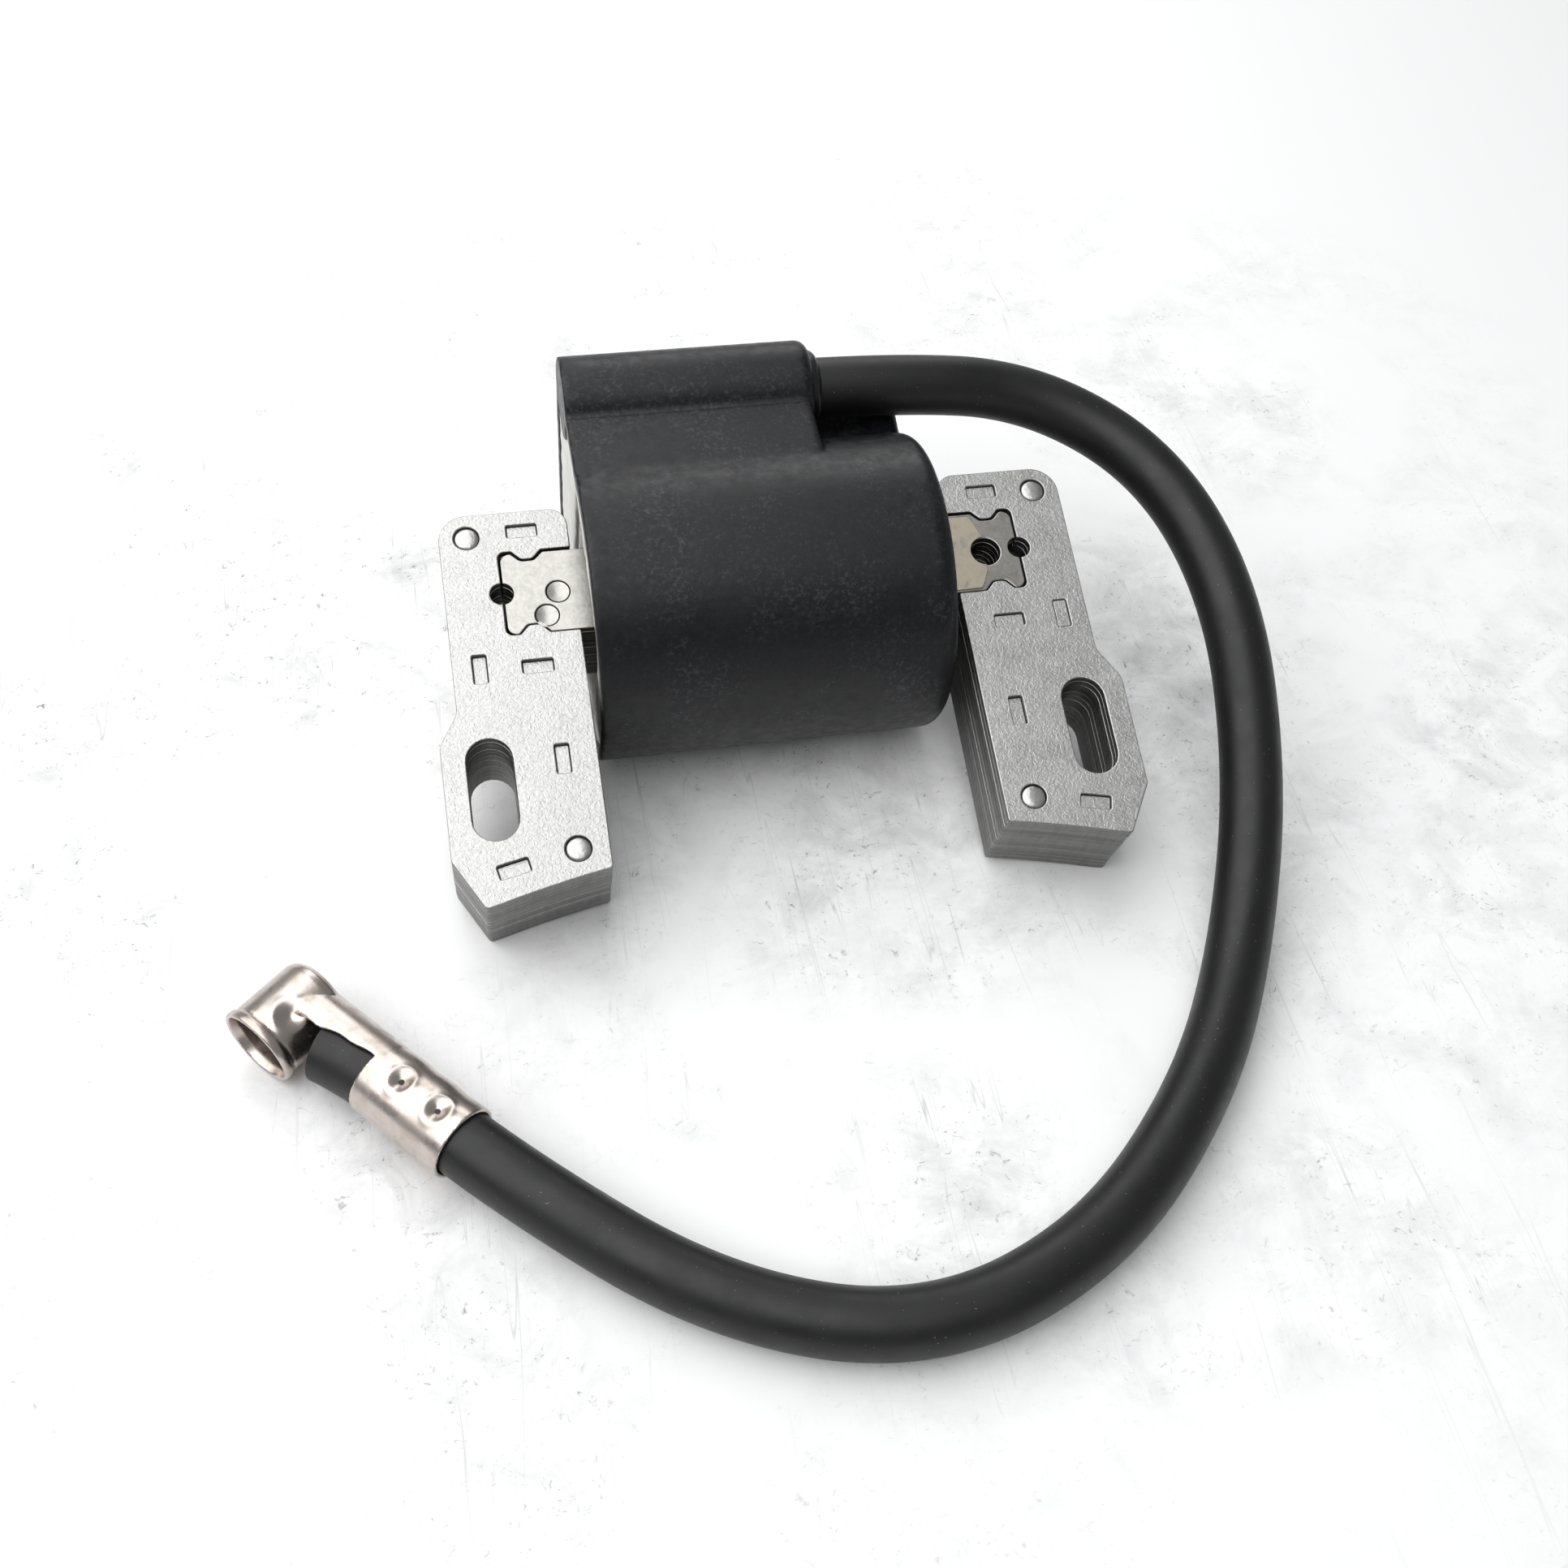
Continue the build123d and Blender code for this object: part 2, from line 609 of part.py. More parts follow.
def axial_component(x, z, radius, length):
    """Axial component along X, on two wires that stand on the board."""
    lift = COMPONENT_LIFT + radius
    reach = length / 2 + COMPONENT_REACH
    with BuildPart() as component:
        with BuildSketch(Plane.YZ.offset(x - length / 2)):
            with Locations((BOARD_Y[1] + lift, z)):
                Circle(radius)
        extrude(amount=length)
        with BuildSketch(Plane.YZ.offset(x - reach)):
            with Locations((BOARD_Y[1] + lift, z)):
                Circle(COMPONENT_WIRE_R)
        extrude(amount=2 * reach)
        with BuildSketch(BOARD_FACE):
            with Locations(on_board(x - reach, z), on_board(x + reach, z)):
                Circle(COMPONENT_WIRE_R)
        extrude(amount=lift)
    return component.part


with BuildPart() as board_resistors:
    for x, z in RESISTOR_PLACES:
        add(axial_component(x, z, RESISTOR_R, RESISTOR_LENGTH))

with BuildPart() as board_diode:
    add(axial_component(*DIODE_PLACE, DIODE_R, DIODE_LENGTH))

with BuildPart() as module_wires:
    for (x, heights), start in (
        (TRIGGER_WIRES, TUBE_OUTSIDE[0] / 2 + TRIGGER_DEPTH),
        (PRIMARY_WIRES, TUBE_OUTSIDE[0] / 2 + PLAY),
    ):
        with BuildSketch(Plane(origin=(0, start, 0), x_dir=(1, 0, 0), z_dir=(0, 1, 0))):
            with Locations(*[on_board(x, z) for z in heights]):
                Circle(WIRE_R)
        extrude(amount=BOARD_Y[0] - start)

with BuildPart() as contact_pin:
    with BuildSketch(across(PIN_LEFT)):
        with Locations((TOWER_Y, TOWER_Z)):
            Circle(PIN_R)
    extrude(amount=PIN_TIP - PIN_LEFT)
    chamfer(contact_pin.faces().sort_by(Axis.X)[-1].edges(), PIN_CHAMFER)
    with BuildSketch(across(-PIN_HEAD)):
        with Locations((TOWER_Y, TOWER_Z)):
            Circle(PIN_HEAD_R)
    extrude(amount=PIN_HEAD)

with BuildPart() as secondary_output_wire:
    with BuildLine() as output_path:
        Polyline(
            (SECONDARY_X[0], *OUTPUT_START),
            (OUTPUT_WIRE_X, *OUTPUT_START),
            (OUTPUT_WIRE_X, TOWER_Y - PIN_R - WIRE_R, TOWER_Z),
        )
        fillet(output_path.vertices().sort_by(Axis.X)[:2].sort_by(Axis.Y)[0], OUTPUT_BEND)
    with BuildSketch(Plane.YZ.offset(SECONDARY_X[0])):
        with Locations(OUTPUT_START):
            Circle(WIRE_R)
    sweep()

with BuildPart() as stop_switch_tab:
    with BuildSketch(Plane.XY.offset(TAB_Z - TAB_THICK / 2)) as blade:
        with Locations((TAB_X, TAB_END)):
            Rectangle(TAB_WIDTH, TAB_END - BOARD_Y[1], align=(Align.CENTER, Align.MAX))
        chamfer(blade.vertices().group_by(Axis.Y)[-1], TAB_CHAMFER)
        with Locations((TAB_X, TAB_END - TAB_EYE_DOWN)):
            Circle(TAB_EYE_R, mode=Mode.SUBTRACT)
    extrude(amount=TAB_THICK)

with BuildPart() as lead_seal:
    with BuildSketch(across(TOWER_END)):
        with Locations((TOWER_Y, TOWER_Z)):
            Circle(SEAL_R)
            Circle(LEAD_R + PLAY, mode=Mode.SUBTRACT)
    extrude(amount=SEAL_LENGTH)
    fillet(lead_seal.faces().sort_by(Axis.X)[-1].outer_wire().edges(), SEAL_ROUND)

for piece, name in (
    (right_leg_laminations, "right_leg_laminations"),
    (left_leg_laminations, "left_leg_laminations"),
    (core_bar_laminations, "core_bar_laminations"),
    (leg_rivets, "leg_rivets"),
    (earth_strap, "earth_strap"),
    (coil_housing, "coil_housing"),
    (end_potting, "end_potting"),
    (primary_bobbin, "primary_bobbin"),
    (core_wedge, "core_wedge"),
    (primary_winding, "primary_winding"),
    (trigger_winding, "trigger_winding"),
    (winding_sleeve, "winding_sleeve"),
    (secondary_bobbin, "secondary_bobbin"),
    (secondary_winding, "secondary_winding"),
    (trigger_board, "trigger_board"),
    (power_transistor, "power_transistor"),
    (board_resistors, "board_resistors"),
    (board_diode, "board_diode"),
    (module_wires, "module_wires"),
    (contact_pin, "contact_pin"),
    (secondary_output_wire, "secondary_output_wire"),
    (stop_switch_tab, "stop_switch_tab"),
    (lead_seal, "lead_seal"),
):
    write_resting(piece, name)


# ---- lead ------------------------------------------------------------------------------------
BEND_SHARE = 0.45               # share of the shorter run that a bend takes up


def bend_radii(route):
    """Radius of the bend at each inner point of a route, from its turn and its shorter run."""
    radii = []
    for before, corner, after in zip(route, route[1:], route[2:]):
        arriving = Vector(*corner) - Vector(*before)
        leaving = Vector(*after) - Vector(*corner)
        half_turn = radians(arriving.get_angle(leaving)) / 2
        radii.append(BEND_SHARE * min(arriving.length, leaving.length) / tan(half_turn))
    return radii


LEAD_BENDS = bend_radii(LEAD_ROUTE)


def tube_along(route, outer, inner):
    """Round tube of straight runs and tangent bends along a route, and its length."""
    with BuildPart() as tube:
        with BuildLine() as path:
            FilletPolyline(*route, radius=LEAD_BENDS)
        with BuildSketch(across(route[0][0])):
            with Locations(route[0][1:]):
                Circle(outer)
                if inner:
                    Circle(inner, mode=Mode.SUBTRACT)
        sweep()
    return tube.part, path.wires()[0].length


insulation_body, insulation_length = tube_along(LEAD_ROUTE, LEAD_R, CONDUCTOR_R + PLAY)
conductor_route = [(PIN_TIP, *LEAD_ROUTE[0][1:])] + LEAD_ROUTE[1:]
conductor_body, conductor_length = tube_along(conductor_route, CONDUCTOR_R, 0)

run_start = Vector(*LEAD_ROUTE[-3])
run_direction = (Vector(*LEAD_ROUTE[-2]) - run_start).normalized()
clip_start = run_start + run_direction * CLIP_OFFSET
mouth_direction = run_direction.rotate(Axis.Z, 90)


def across_lead(along):
    """Plane square to the lead in the clip: its own x looks to the cup's mouth, its own y up."""
    return Plane(
        origin=clip_start + run_direction * along,
        x_dir=mouth_direction,
        z_dir=run_direction,
    )


tang_plane = Plane(origin=clip_start + run_direction * TANG_ALONG, z_dir=(0, 0, -1))

with BuildPart() as lead_insulation:
    add(insulation_body)
    with BuildSketch(tang_plane):
        Circle(TANG_R + PLAY)
    extrude(amount=LEAD_R, mode=Mode.SUBTRACT)

with BuildPart() as lead_conductor:
    add(conductor_body)

SECTION_AREA = pi * (LEAD_R ** 2 - (CONDUCTOR_R + PLAY) ** 2)
print("lead radii:", [round(radius, 1) for radius in LEAD_BENDS])
print("lead length:", round(insulation_length, 1))
print("lead volume / section x length:", insulation_body.volume / (SECTION_AREA * insulation_length))

# ---- spark plug clip -------------------------------------------------------------------------
CRIMP_OUTER = CRIMP_INNER + CLIP_SHEET


def neck_strip():
    """Section of the neck, a strip bent round the side of the lead."""
    middle = span(NECK_ARC)[1]
    reach = 2 * CRIMP_OUTER
    with BuildSketch() as strip:
        Circle(CRIMP_OUTER)
        Circle(CRIMP_INNER, mode=Mode.SUBTRACT)
        half_angle = radians(span(NECK_ARC)[0] / 2)
        add(
            polygon([
                (0, 0),
                (reach, -reach * tan(half_angle)),
                (reach, reach * tan(half_angle)),
            ]).rotate(Axis.Z, middle),
            mode=Mode.INTERSECT,
        )
    return strip.sketch


cup_centre = clip_start + run_direction * CUP_ALONG
cup_direction = mouth_direction.rotate(Axis((0, 0, 0), run_direction), -CUP_DROP)


def across_cup(along):
    """Plane square to the cup's axis, counted towards its mouth."""
    return Plane(origin=cup_centre + cup_direction * along, x_dir=run_direction, z_dir=cup_direction)


with BuildPart() as cup_block:
    with BuildSketch(across_cup(CUP_BACK)):
        Circle(CUP_R)
    extrude(amount=CUP_MOUTH - CUP_BACK)
    fillet(cup_block.faces().sort_by(Axis(cup_centre, cup_direction))[0].edges(), CUP_ROUND)

with BuildPart() as spark_plug_clip:
    with BuildSketch(across_lead(0)):
        Circle(CRIMP_OUTER)
        Circle(CRIMP_INNER, mode=Mode.SUBTRACT)
        with PolarLocations(CRIMP_OUTER, 1, start_angle=SEAM_AT):
            Rectangle(CRIMP_OUTER, CRIMP_SEAM, mode=Mode.SUBTRACT)
    extrude(amount=CRIMP_LENGTH)
    with BuildSketch(across_lead(CRIMP_LENGTH)):
        add(neck_strip())
    with BuildSketch(across_lead(NECK_END)):
        with Locations((-NECK_STEP, 0)):
            add(neck_strip())
    loft()
    add(cup_block.part)
    with BuildSketch(across_cup(CUP_MOUTH - BEAD_LENGTH)):
        Circle(BEAD_R)
    extrude(amount=BEAD_LENGTH)
    with BuildSketch(across_cup(CUP_BACK + CLIP_SHEET)):
        Circle(CUP_R - CLIP_SHEET)
    extrude(amount=CUP_MOUTH - CUP_BACK, mode=Mode.SUBTRACT)
    with BuildSketch(tang_plane.offset(CONDUCTOR_R)):
        Circle(TANG_R)
    extrude(amount=CRIMP_INNER - CONDUCTOR_R + CLIP_SHEET / 2)

write(lead_insulation, "lead_insulation")
write(lead_conductor, "lead_conductor")
write(spark_plug_clip, "spark_plug_clip")
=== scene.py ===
"""Looks of a small engine's ignition coil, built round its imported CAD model.

The CAD model is the fixed frame. This script replaces the pieces that show by finer meshes of the
same size and place, dresses every piece in a procedural finish, and sets up a plain studio.
Lengths are millimetres in the data classes and metres in Blender.
"""

import logging
import math
import random
from dataclasses import dataclass
from enum import Enum
from typing import Any, Callable, Iterable, Optional, Sequence

import bmesh
import bpy
from mathutils import Matrix, Vector, noise


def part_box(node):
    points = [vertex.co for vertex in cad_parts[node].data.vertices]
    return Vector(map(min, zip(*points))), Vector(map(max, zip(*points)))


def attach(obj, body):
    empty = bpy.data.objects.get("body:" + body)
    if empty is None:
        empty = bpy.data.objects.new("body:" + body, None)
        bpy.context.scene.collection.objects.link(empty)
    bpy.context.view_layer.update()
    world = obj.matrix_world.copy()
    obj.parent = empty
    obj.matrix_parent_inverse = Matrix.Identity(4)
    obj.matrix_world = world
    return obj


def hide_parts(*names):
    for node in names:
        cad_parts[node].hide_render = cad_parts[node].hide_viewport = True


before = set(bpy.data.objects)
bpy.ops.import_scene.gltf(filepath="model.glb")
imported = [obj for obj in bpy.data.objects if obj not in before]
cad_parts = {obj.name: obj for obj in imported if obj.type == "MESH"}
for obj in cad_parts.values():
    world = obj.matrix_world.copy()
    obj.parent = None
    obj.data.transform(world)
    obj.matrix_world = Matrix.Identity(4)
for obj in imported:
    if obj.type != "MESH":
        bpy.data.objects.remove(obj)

LOG = logging.getLogger("ignition_coil")
MM = 0.001
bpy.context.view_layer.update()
# at a scale of 1, the wave texture repeats about once in this many units
WAVE_PERIOD = 0.31

Point = tuple[float, float]
Colour = tuple[float, float, float, float]


# ---- driving dimensions ----------------------------------------------------------------------
@dataclass(frozen=True)
class StackSizes:
    """The laminated stack: sheets, and the interlocks that key them together."""

    pitch: float = 1.02
    sheet: float = 1.0
    count: int = 12
    edge: float = 0.05
    top_edge: float = 0.13
    shift: float = 0.035
    interlock: Point = (3.45, 1.6)
    interlock_round: float = 0.25
    interlock_gap: float = 0.08
    pressed_round: float = 0.22
    pressed: float = 1.1
    pressed_edge: float = 0.1
    button: float = 1.35
    button_gap: float = 0.04
    button_drop: float = 0.1

    @property
    def top(self) -> float:
        """Height of the upper face over the middle of the stack."""
        return self.pitch * self.count / 2


@dataclass(frozen=True)
class LegSizes:
    """Outline of the right leg in the coil's own frame."""

    inner: float = 21.7
    outer: float = 36.2
    top: float = 10.2
    pad_outer: float = 38.4
    pad_start: float = -13.9
    pad_full: float = -17.5
    pad_end: float = -30.6
    toe_outer: Point = (35.3, -36.2)
    toe_inner_y: float = -33.2
    toe_round: Point = (0.5, 0.4)
    seed: int = 11
    pad_round: float = 0.8
    pad_shoulder: float = 2.4
    top_round: Point = (3.2, 2.1)
    pole_radius: float = 130.0
    slot_centre: Point = (33.3, -23.0)
    slot_width: float = 5.0
    slot_length: float = 11.7
    slot_hair: float = 0.001
    rivets: tuple[Point, ...] = ((33.1, 7.3), (25.1, -30.7))
    rivet: float = 1.35
    rivet_gap: float = 0.1
    rivet_fit: float = 0.05
    rivet_low: float = 0.5
    rivet_sink: float = 0.26
    # x, y, turn in degrees, and how far down the metal is on the right and on the left leg
    interlocks: tuple[tuple[float, float, float, float, float], ...] = (
        (26.9, 7.7, 0.0, 0.34, 0.42),
        (33.2, -8.9, 90.0, 0.13, 0.5),
        (26.9, -9.1, 0.0, 0.36, 0.52),
        (25.5, -20.3, 90.0, 0.5, 0.5),
        (32.0, -32.1, -12.0, 0.34, 0.5),
    )


@dataclass(frozen=True)
class JointSizes:
    """The pocket in the leg and the head of the bar that locks into it."""

    pocket_end: float = 29.9
    pocket_half: float = 5.17
    nose_x: float = 26.7
    nose_reach: float = 4.1
    nose_half: float = 0.65
    nose_foot: float = 1.0
    nose_round: float = 0.75
    root_round: float = 0.35
    mouth_round: float = 0.25
    pocket_round: float = 0.8
    slack: float = 0.1
    hole: float = 1.3
    bar_end: float = 29.7
    bar_low: float = -5.12
    bar_high: float = 4.85
    bar_round: float = 1.0
    bar_seed: int = 7
    notch_low: float = -4.0
    notch_high: float = 3.86
    tool_hole: Point = (25.8, -0.2)
    tool_hole_radius: float = 1.75
    buttons: tuple[Point, ...] = ((-23.7, -0.3), (-25.2, -3.1))
    strap_start: float = 18.4
    strap_end: float = 25.6
    strap_low: float = -4.86
    strap_high: float = 4.4
    strap: float = 0.25
    strap_edge: float = 0.06
    strap_clear: float = 0.02


@dataclass(frozen=True)
class HousingSizes:
    """The moulded housing."""

    barrel: float = 17.3
    left: float = -20.8
    tower: Point = (21.7, 8.95)
    tower_end: float = 8.0
    web_end: float = 6.4
    web_crease: Point = (9.2, 14.65)
    web_blend: float = 2.6
    blend_from: float = 1.6
    blend_steps: int = 40
    voxel: float = 0.3
    pour_coarse: float = 2.2
    pour_fine: float = 0.8
    pour_depth: float = 0.12
    pour_share: float = 0.3
    seal_inset: float = 0.05
    seal_outer: float = 4.35
    seal_lump: float = 1.3
    seal_depth: float = 0.06


@dataclass(frozen=True)
class LeadSizes:
    """The high-tension lead."""

    radius: float = 3.5
    strand: float = 0.2
    strand_ring: float = 0.42
    strand_ends: tuple[float, float] = (-0.14, 0.04)
    seed: int = 3
    length: float = 241.0
    route: tuple[tuple[float, float, float], ...] = (
        (0, 19.334, 32.677),
        (18, 19.334, 32.677),
        (36, 20.0, 29.3),
        (49.5, 9.1, 25.5),
        (54, -8.9, 20.3),
        (52, -28.4, 11.5),
        (46, -45.9, 3.8),
        (36, -62.4, 3.6),
        (20.5, -77.4, 3.6),
        (1.5, -83.9, 3.6),
        (-18, -77.6, 3.6),
        (-36.7, -61.5, 4.9),
        (-48.9, -47.5, 4.9),
        (-52.9, -44.7, 4.9),
    )


@dataclass(frozen=True)
class ClipSizes:
    """The spark plug clip, in its own frame: s along the lead, m to the mouth, z up."""

    offset: float = 5.0
    sheet: float = 0.45
    crimp_length: float = 11.9
    crimp: float = 3.78
    seam_at: float = -34.0
    seam_gap: float = 0.22
    dents: tuple[Point, ...] = ((2.9, 86.0), (7.9, 87.0))
    neck_far_edge: float = 250.0
    cup_along: float = 23.7
    cup: float = 4.25
    cup_back: float = -3.7
    cup_mouth: float = 5.6
    cup_drop: float = 1.5
    bead: float = 4.5
    bead_length: float = 1.25
    ripple: float = 0.07
    neck_overlap: float = 0.6
    neck_trim: float = 19.0
    neck_wave: float = 1.6
    neck_hook: float = 1.2
    wall_depth: float = 1.2
    detent: Point = (1.8, 243.0)
    dent_radius: float = 1.05
    dent_depth: float = 0.62
    dent_reach: float = 1.9
    swell: float = 0.09
    detent_radius: float = 1.35
    detent_depth: float = 0.5
    voxel: float = 0.13


STACK = StackSizes()
LEG = LegSizes()
JOINT = JointSizes()
HOUSING = HousingSizes()
LEAD = LeadSizes()
CLIP = ClipSizes()

REST_SHIFT = 1.6
TOE_DISTANCE = math.hypot(LEG.toe_outer[1], STACK.top)
TILT = math.asin(HOUSING.barrel / TOE_DISTANCE) - math.atan2(STACK.top, -LEG.toe_outer[1])
TO_METRES = Matrix.Scale(MM, 4)
COIL = (
    TO_METRES
    @ Matrix.Translation((0.0, REST_SHIFT, HOUSING.barrel))
    @ Matrix.Rotation(TILT, 4, "X")
)
STACK_NORMAL = (0.0, -math.sin(TILT), math.cos(TILT))


# ---- node trees ------------------------------------------------------------------------------
def srgb(code: str) -> Colour:
    """Turn an sRGB hex colour into a linear one.

    Args:
        code: Six hex digits with a leading hash.

    Returns:
        Linear red, green, blue and an alpha of 1.
    """
    parts = [int(code[start:start + 2], 16) / 255 for start in (1, 3, 5)]
    linear = [c / 12.92 if c <= 0.04045 else ((c + 0.055) / 1.055) ** 2.4 for c in parts]
    return (linear[0], linear[1], linear[2], 1.0)


def add_node(
    tree: bpy.types.NodeTree,
    kind: str,
    settings: Optional[dict[str, Any]] = None,
    links: Optional[dict[Any, bpy.types.NodeSocket]] = None,
) -> bpy.types.Node:
    """Add one node, set its properties and input values, and link its inputs.

    Args:
        tree: Tree that gets the node.
        kind: Blender's name of the node type.
        settings: Properties of the node, or default values of its inputs.
        links: Source socket for each input, by name or index.

    Returns:
        The new node.
    """
    node = tree.nodes.new(kind)
    for name, value in (settings or {}).items():
        if isinstance(name, str) and name in node.bl_rna.properties:
            setattr(node, name, value)
        else:
            node.inputs[name].default_value = value
    for name, source in (links or {}).items():
        tree.links.new(source, node.inputs[name])
    return node


class Shader:
    """A material's node tree with the few patterns that all finishes are made of."""

    def __init__(self, name: str) -> None:
        """Start a material.

        Args:
            name: Name of the material.
        """
        self.material = bpy.data.materials.new(name)
        self.material.use_nodes = True
        self.tree = self.material.node_tree
        self.tree.nodes.clear()
        self.output = add_node(self.tree, "ShaderNodeOutputMaterial")
        self.surface = add_node(self.tree, "ShaderNodeBsdfPrincipled")
        self.tree.links.new(self.surface.outputs["BSDF"], self.output.inputs["Surface"])
        self.coordinates = add_node(self.tree, "ShaderNodeTexCoord").outputs["Object"]
        self.height: Optional[bpy.types.NodeSocket] = None

    def set(self, **values: Any) -> None:
        """Set uniform values of the surface.

        Args:
            values: Value of each socket, by its name with underscores for spaces.
        """
        for name, value in values.items():
            self.surface.inputs[name.replace("_", " ")].default_value = value

    def link(self, socket: str, source: bpy.types.NodeSocket) -> None:
        """Drive one socket of the surface by a pattern.

        Args:
            socket: Name of the surface's socket.
            source: Pattern that drives it.
        """
        self.tree.links.new(source, self.surface.inputs[socket])

    def mapped(
        self,
        stretch: Sequence[float] = (1.0, 1.0, 1.0),
        tilt: float = 0.0,
    ) -> bpy.types.NodeSocket:
        """Object coordinates in millimetres, turned about X and stretched.

        Args:
            stretch: Factor on each axis after the turn.
            tilt: Turn about X in radians.

        Returns:
            The coordinates' socket.
        """
        turned = add_node(
            self.tree,
            "ShaderNodeMapping",
            {"Rotation": (tilt, 0.0, 0.0)},
            {"Vector": self.coordinates},
        )
        scaled = add_node(
            self.tree,
            "ShaderNodeMapping",
            {"Scale": tuple(factor / MM for factor in stretch)},
            {"Vector": turned.outputs[0]},
        )
        return scaled.outputs[0]

    def noise(
        self,
        feature: float,
        detail: float = 3.0,
        roughness: float = 0.5,
        distortion: float = 0.0,
        vector: Optional[bpy.types.NodeSocket] = None,
    ) -> bpy.types.NodeSocket:
        """Noise.

        Args:
            feature: Size of its features in millimetres.
            detail: Number of finer layers.
            roughness: Weight of the finer layers.
            distortion: How much it swirls.
            vector: Coordinates, or none for plain millimetres.

        Returns:
            The noise's value.
        """
        settings = {
            "Scale": 1.0 / feature,
            "Detail": detail,
            "Roughness": roughness,
            "Distortion": distortion,
        }
        source = vector or self.mapped()
        return add_node(self.tree, "ShaderNodeTexNoise", settings, {"Vector": source}).outputs[0]

    def level(
        self,
        source: bpy.types.NodeSocket,
        low: tuple[float, float],
        high: tuple[float, float],
    ) -> bpy.types.NodeSocket:
        """Map one range of a pattern to another, clamped.

        Args:
            source: The pattern.
            low: Its lower value, and what that becomes.
            high: Its upper value, and what that becomes.

        Returns:
            The mapped pattern.
        """
        settings = {1: low[0], 2: high[0], 3: low[1], 4: high[1]}
        return add_node(self.tree, "ShaderNodeMapRange", settings, {0: source}).outputs[0]

    def math(self, operation: str, first: Any, second: Any) -> bpy.types.NodeSocket:
        """Arithmetic on two patterns or numbers.

        Args:
            operation: Blender's name of the operation.
            first: First pattern or number.
            second: Second pattern or number.

        Returns:
            The result.
        """
        node = add_node(self.tree, "ShaderNodeMath", {"operation": operation})
        for index, value in enumerate((first, second)):
            if isinstance(value, (int, float)):
                node.inputs[index].default_value = value
            else:
                self.tree.links.new(value, node.inputs[index])
        return node.outputs[0]

    def mix(self, factor: Any, first: Any, second: Any, mode: str = "MIX") -> bpy.types.NodeSocket:
        """Mix two colours.

        Args:
            factor: Share of the second colour, as a pattern or number.
            first: First colour or colour pattern.
            second: Second colour or colour pattern.
            mode: Blender's name of the way they blend.

        Returns:
            The mixed colour.
        """
        # the node's inputs 6 and 7 and its output 2 are the ones for colours
        node = add_node(self.tree, "ShaderNodeMix", {"data_type": "RGBA", "blend_type": mode})
        for index, value in ((0, factor), (6, first), (7, second)):
            if isinstance(value, (int, float, tuple)):
                node.inputs[index].default_value = value
            else:
                self.tree.links.new(value, node.inputs[index])
        return node.outputs[2]

    def stain(
        self,
        pattern: bpy.types.NodeSocket,
        low: tuple[float, float],
        high: tuple[float, float],
        colours: tuple[str, str],
    ) -> None:
        """Colour the surface from one colour to another by a pattern.

        Args:
            pattern: The pattern.
            low: Its lower value, and the share of the second colour there.
            high: Its upper value, and the share of the second colour there.
            colours: The two colours as hex codes.
        """
        share = self.level(pattern, low, high)
        self.link("Base Color", self.mix(share, srgb(colours[0]), srgb(colours[1])))

    def shine(
        self,
        pattern: bpy.types.NodeSocket,
        low: tuple[float, float],
        high: tuple[float, float],
    ) -> None:
        """Vary the surface's roughness by a pattern.

        Args:
            pattern: The pattern.
            low: Its lower value, and the roughness there.
            high: Its upper value, and the roughness there.
        """
        self.link("Roughness", self.level(pattern, low, high))

    def bump(self, height: bpy.types.NodeSocket, depth: float, strength: float = 1.0) -> None:
        """Add relief to the surface's normal.

        Args:
            height: Pattern of the relief.
            depth: Its depth in millimetres.
            strength: Share of it that counts.
        """
        links = {"Height": height}
        if self.height is not None:
            links["Normal"] = self.height
        settings = {"Distance": depth * MM, "Strength": strength}
        self.height = add_node(self.tree, "ShaderNodeBump", settings, links).outputs[0]
        self.tree.links.new(self.height, self.surface.inputs["Normal"])

    def facing(self, direction: Sequence[float]) -> bpy.types.NodeSocket:
        """How squarely the surface faces along a direction, either way.

        Args:
            direction: The direction, in the row frame.

        Returns:
            A value from 0 to 1.
        """
        geometry = add_node(self.tree, "ShaderNodeNewGeometry")
        dot = add_node(
            self.tree,
            "ShaderNodeVectorMath",
            {"operation": "DOT_PRODUCT", 1: tuple(direction)},
            {0: geometry.outputs["True Normal"]},
        )
        return self.math("ABSOLUTE", dot.outputs["Value"], 0.0)


# ---- finishes --------------------------------------------------------------------------------
@dataclass(frozen=True)
class Finish:
    """A material that real pieces are made of."""

    name: str
    colour: str

    def build(self) -> bpy.types.Material:
        """Make the finish's material.

        Returns:
            The material, with its whole node tree.
        """
        shader = Shader(self.name)
        self.dress(shader)
        return shader.material

    def dress(self, shader: Shader) -> None:
        """Fill the shader in. Each kind of finish has its own way.

        Args:
            shader: Node tree to fill in.
        """
        raise NotImplementedError


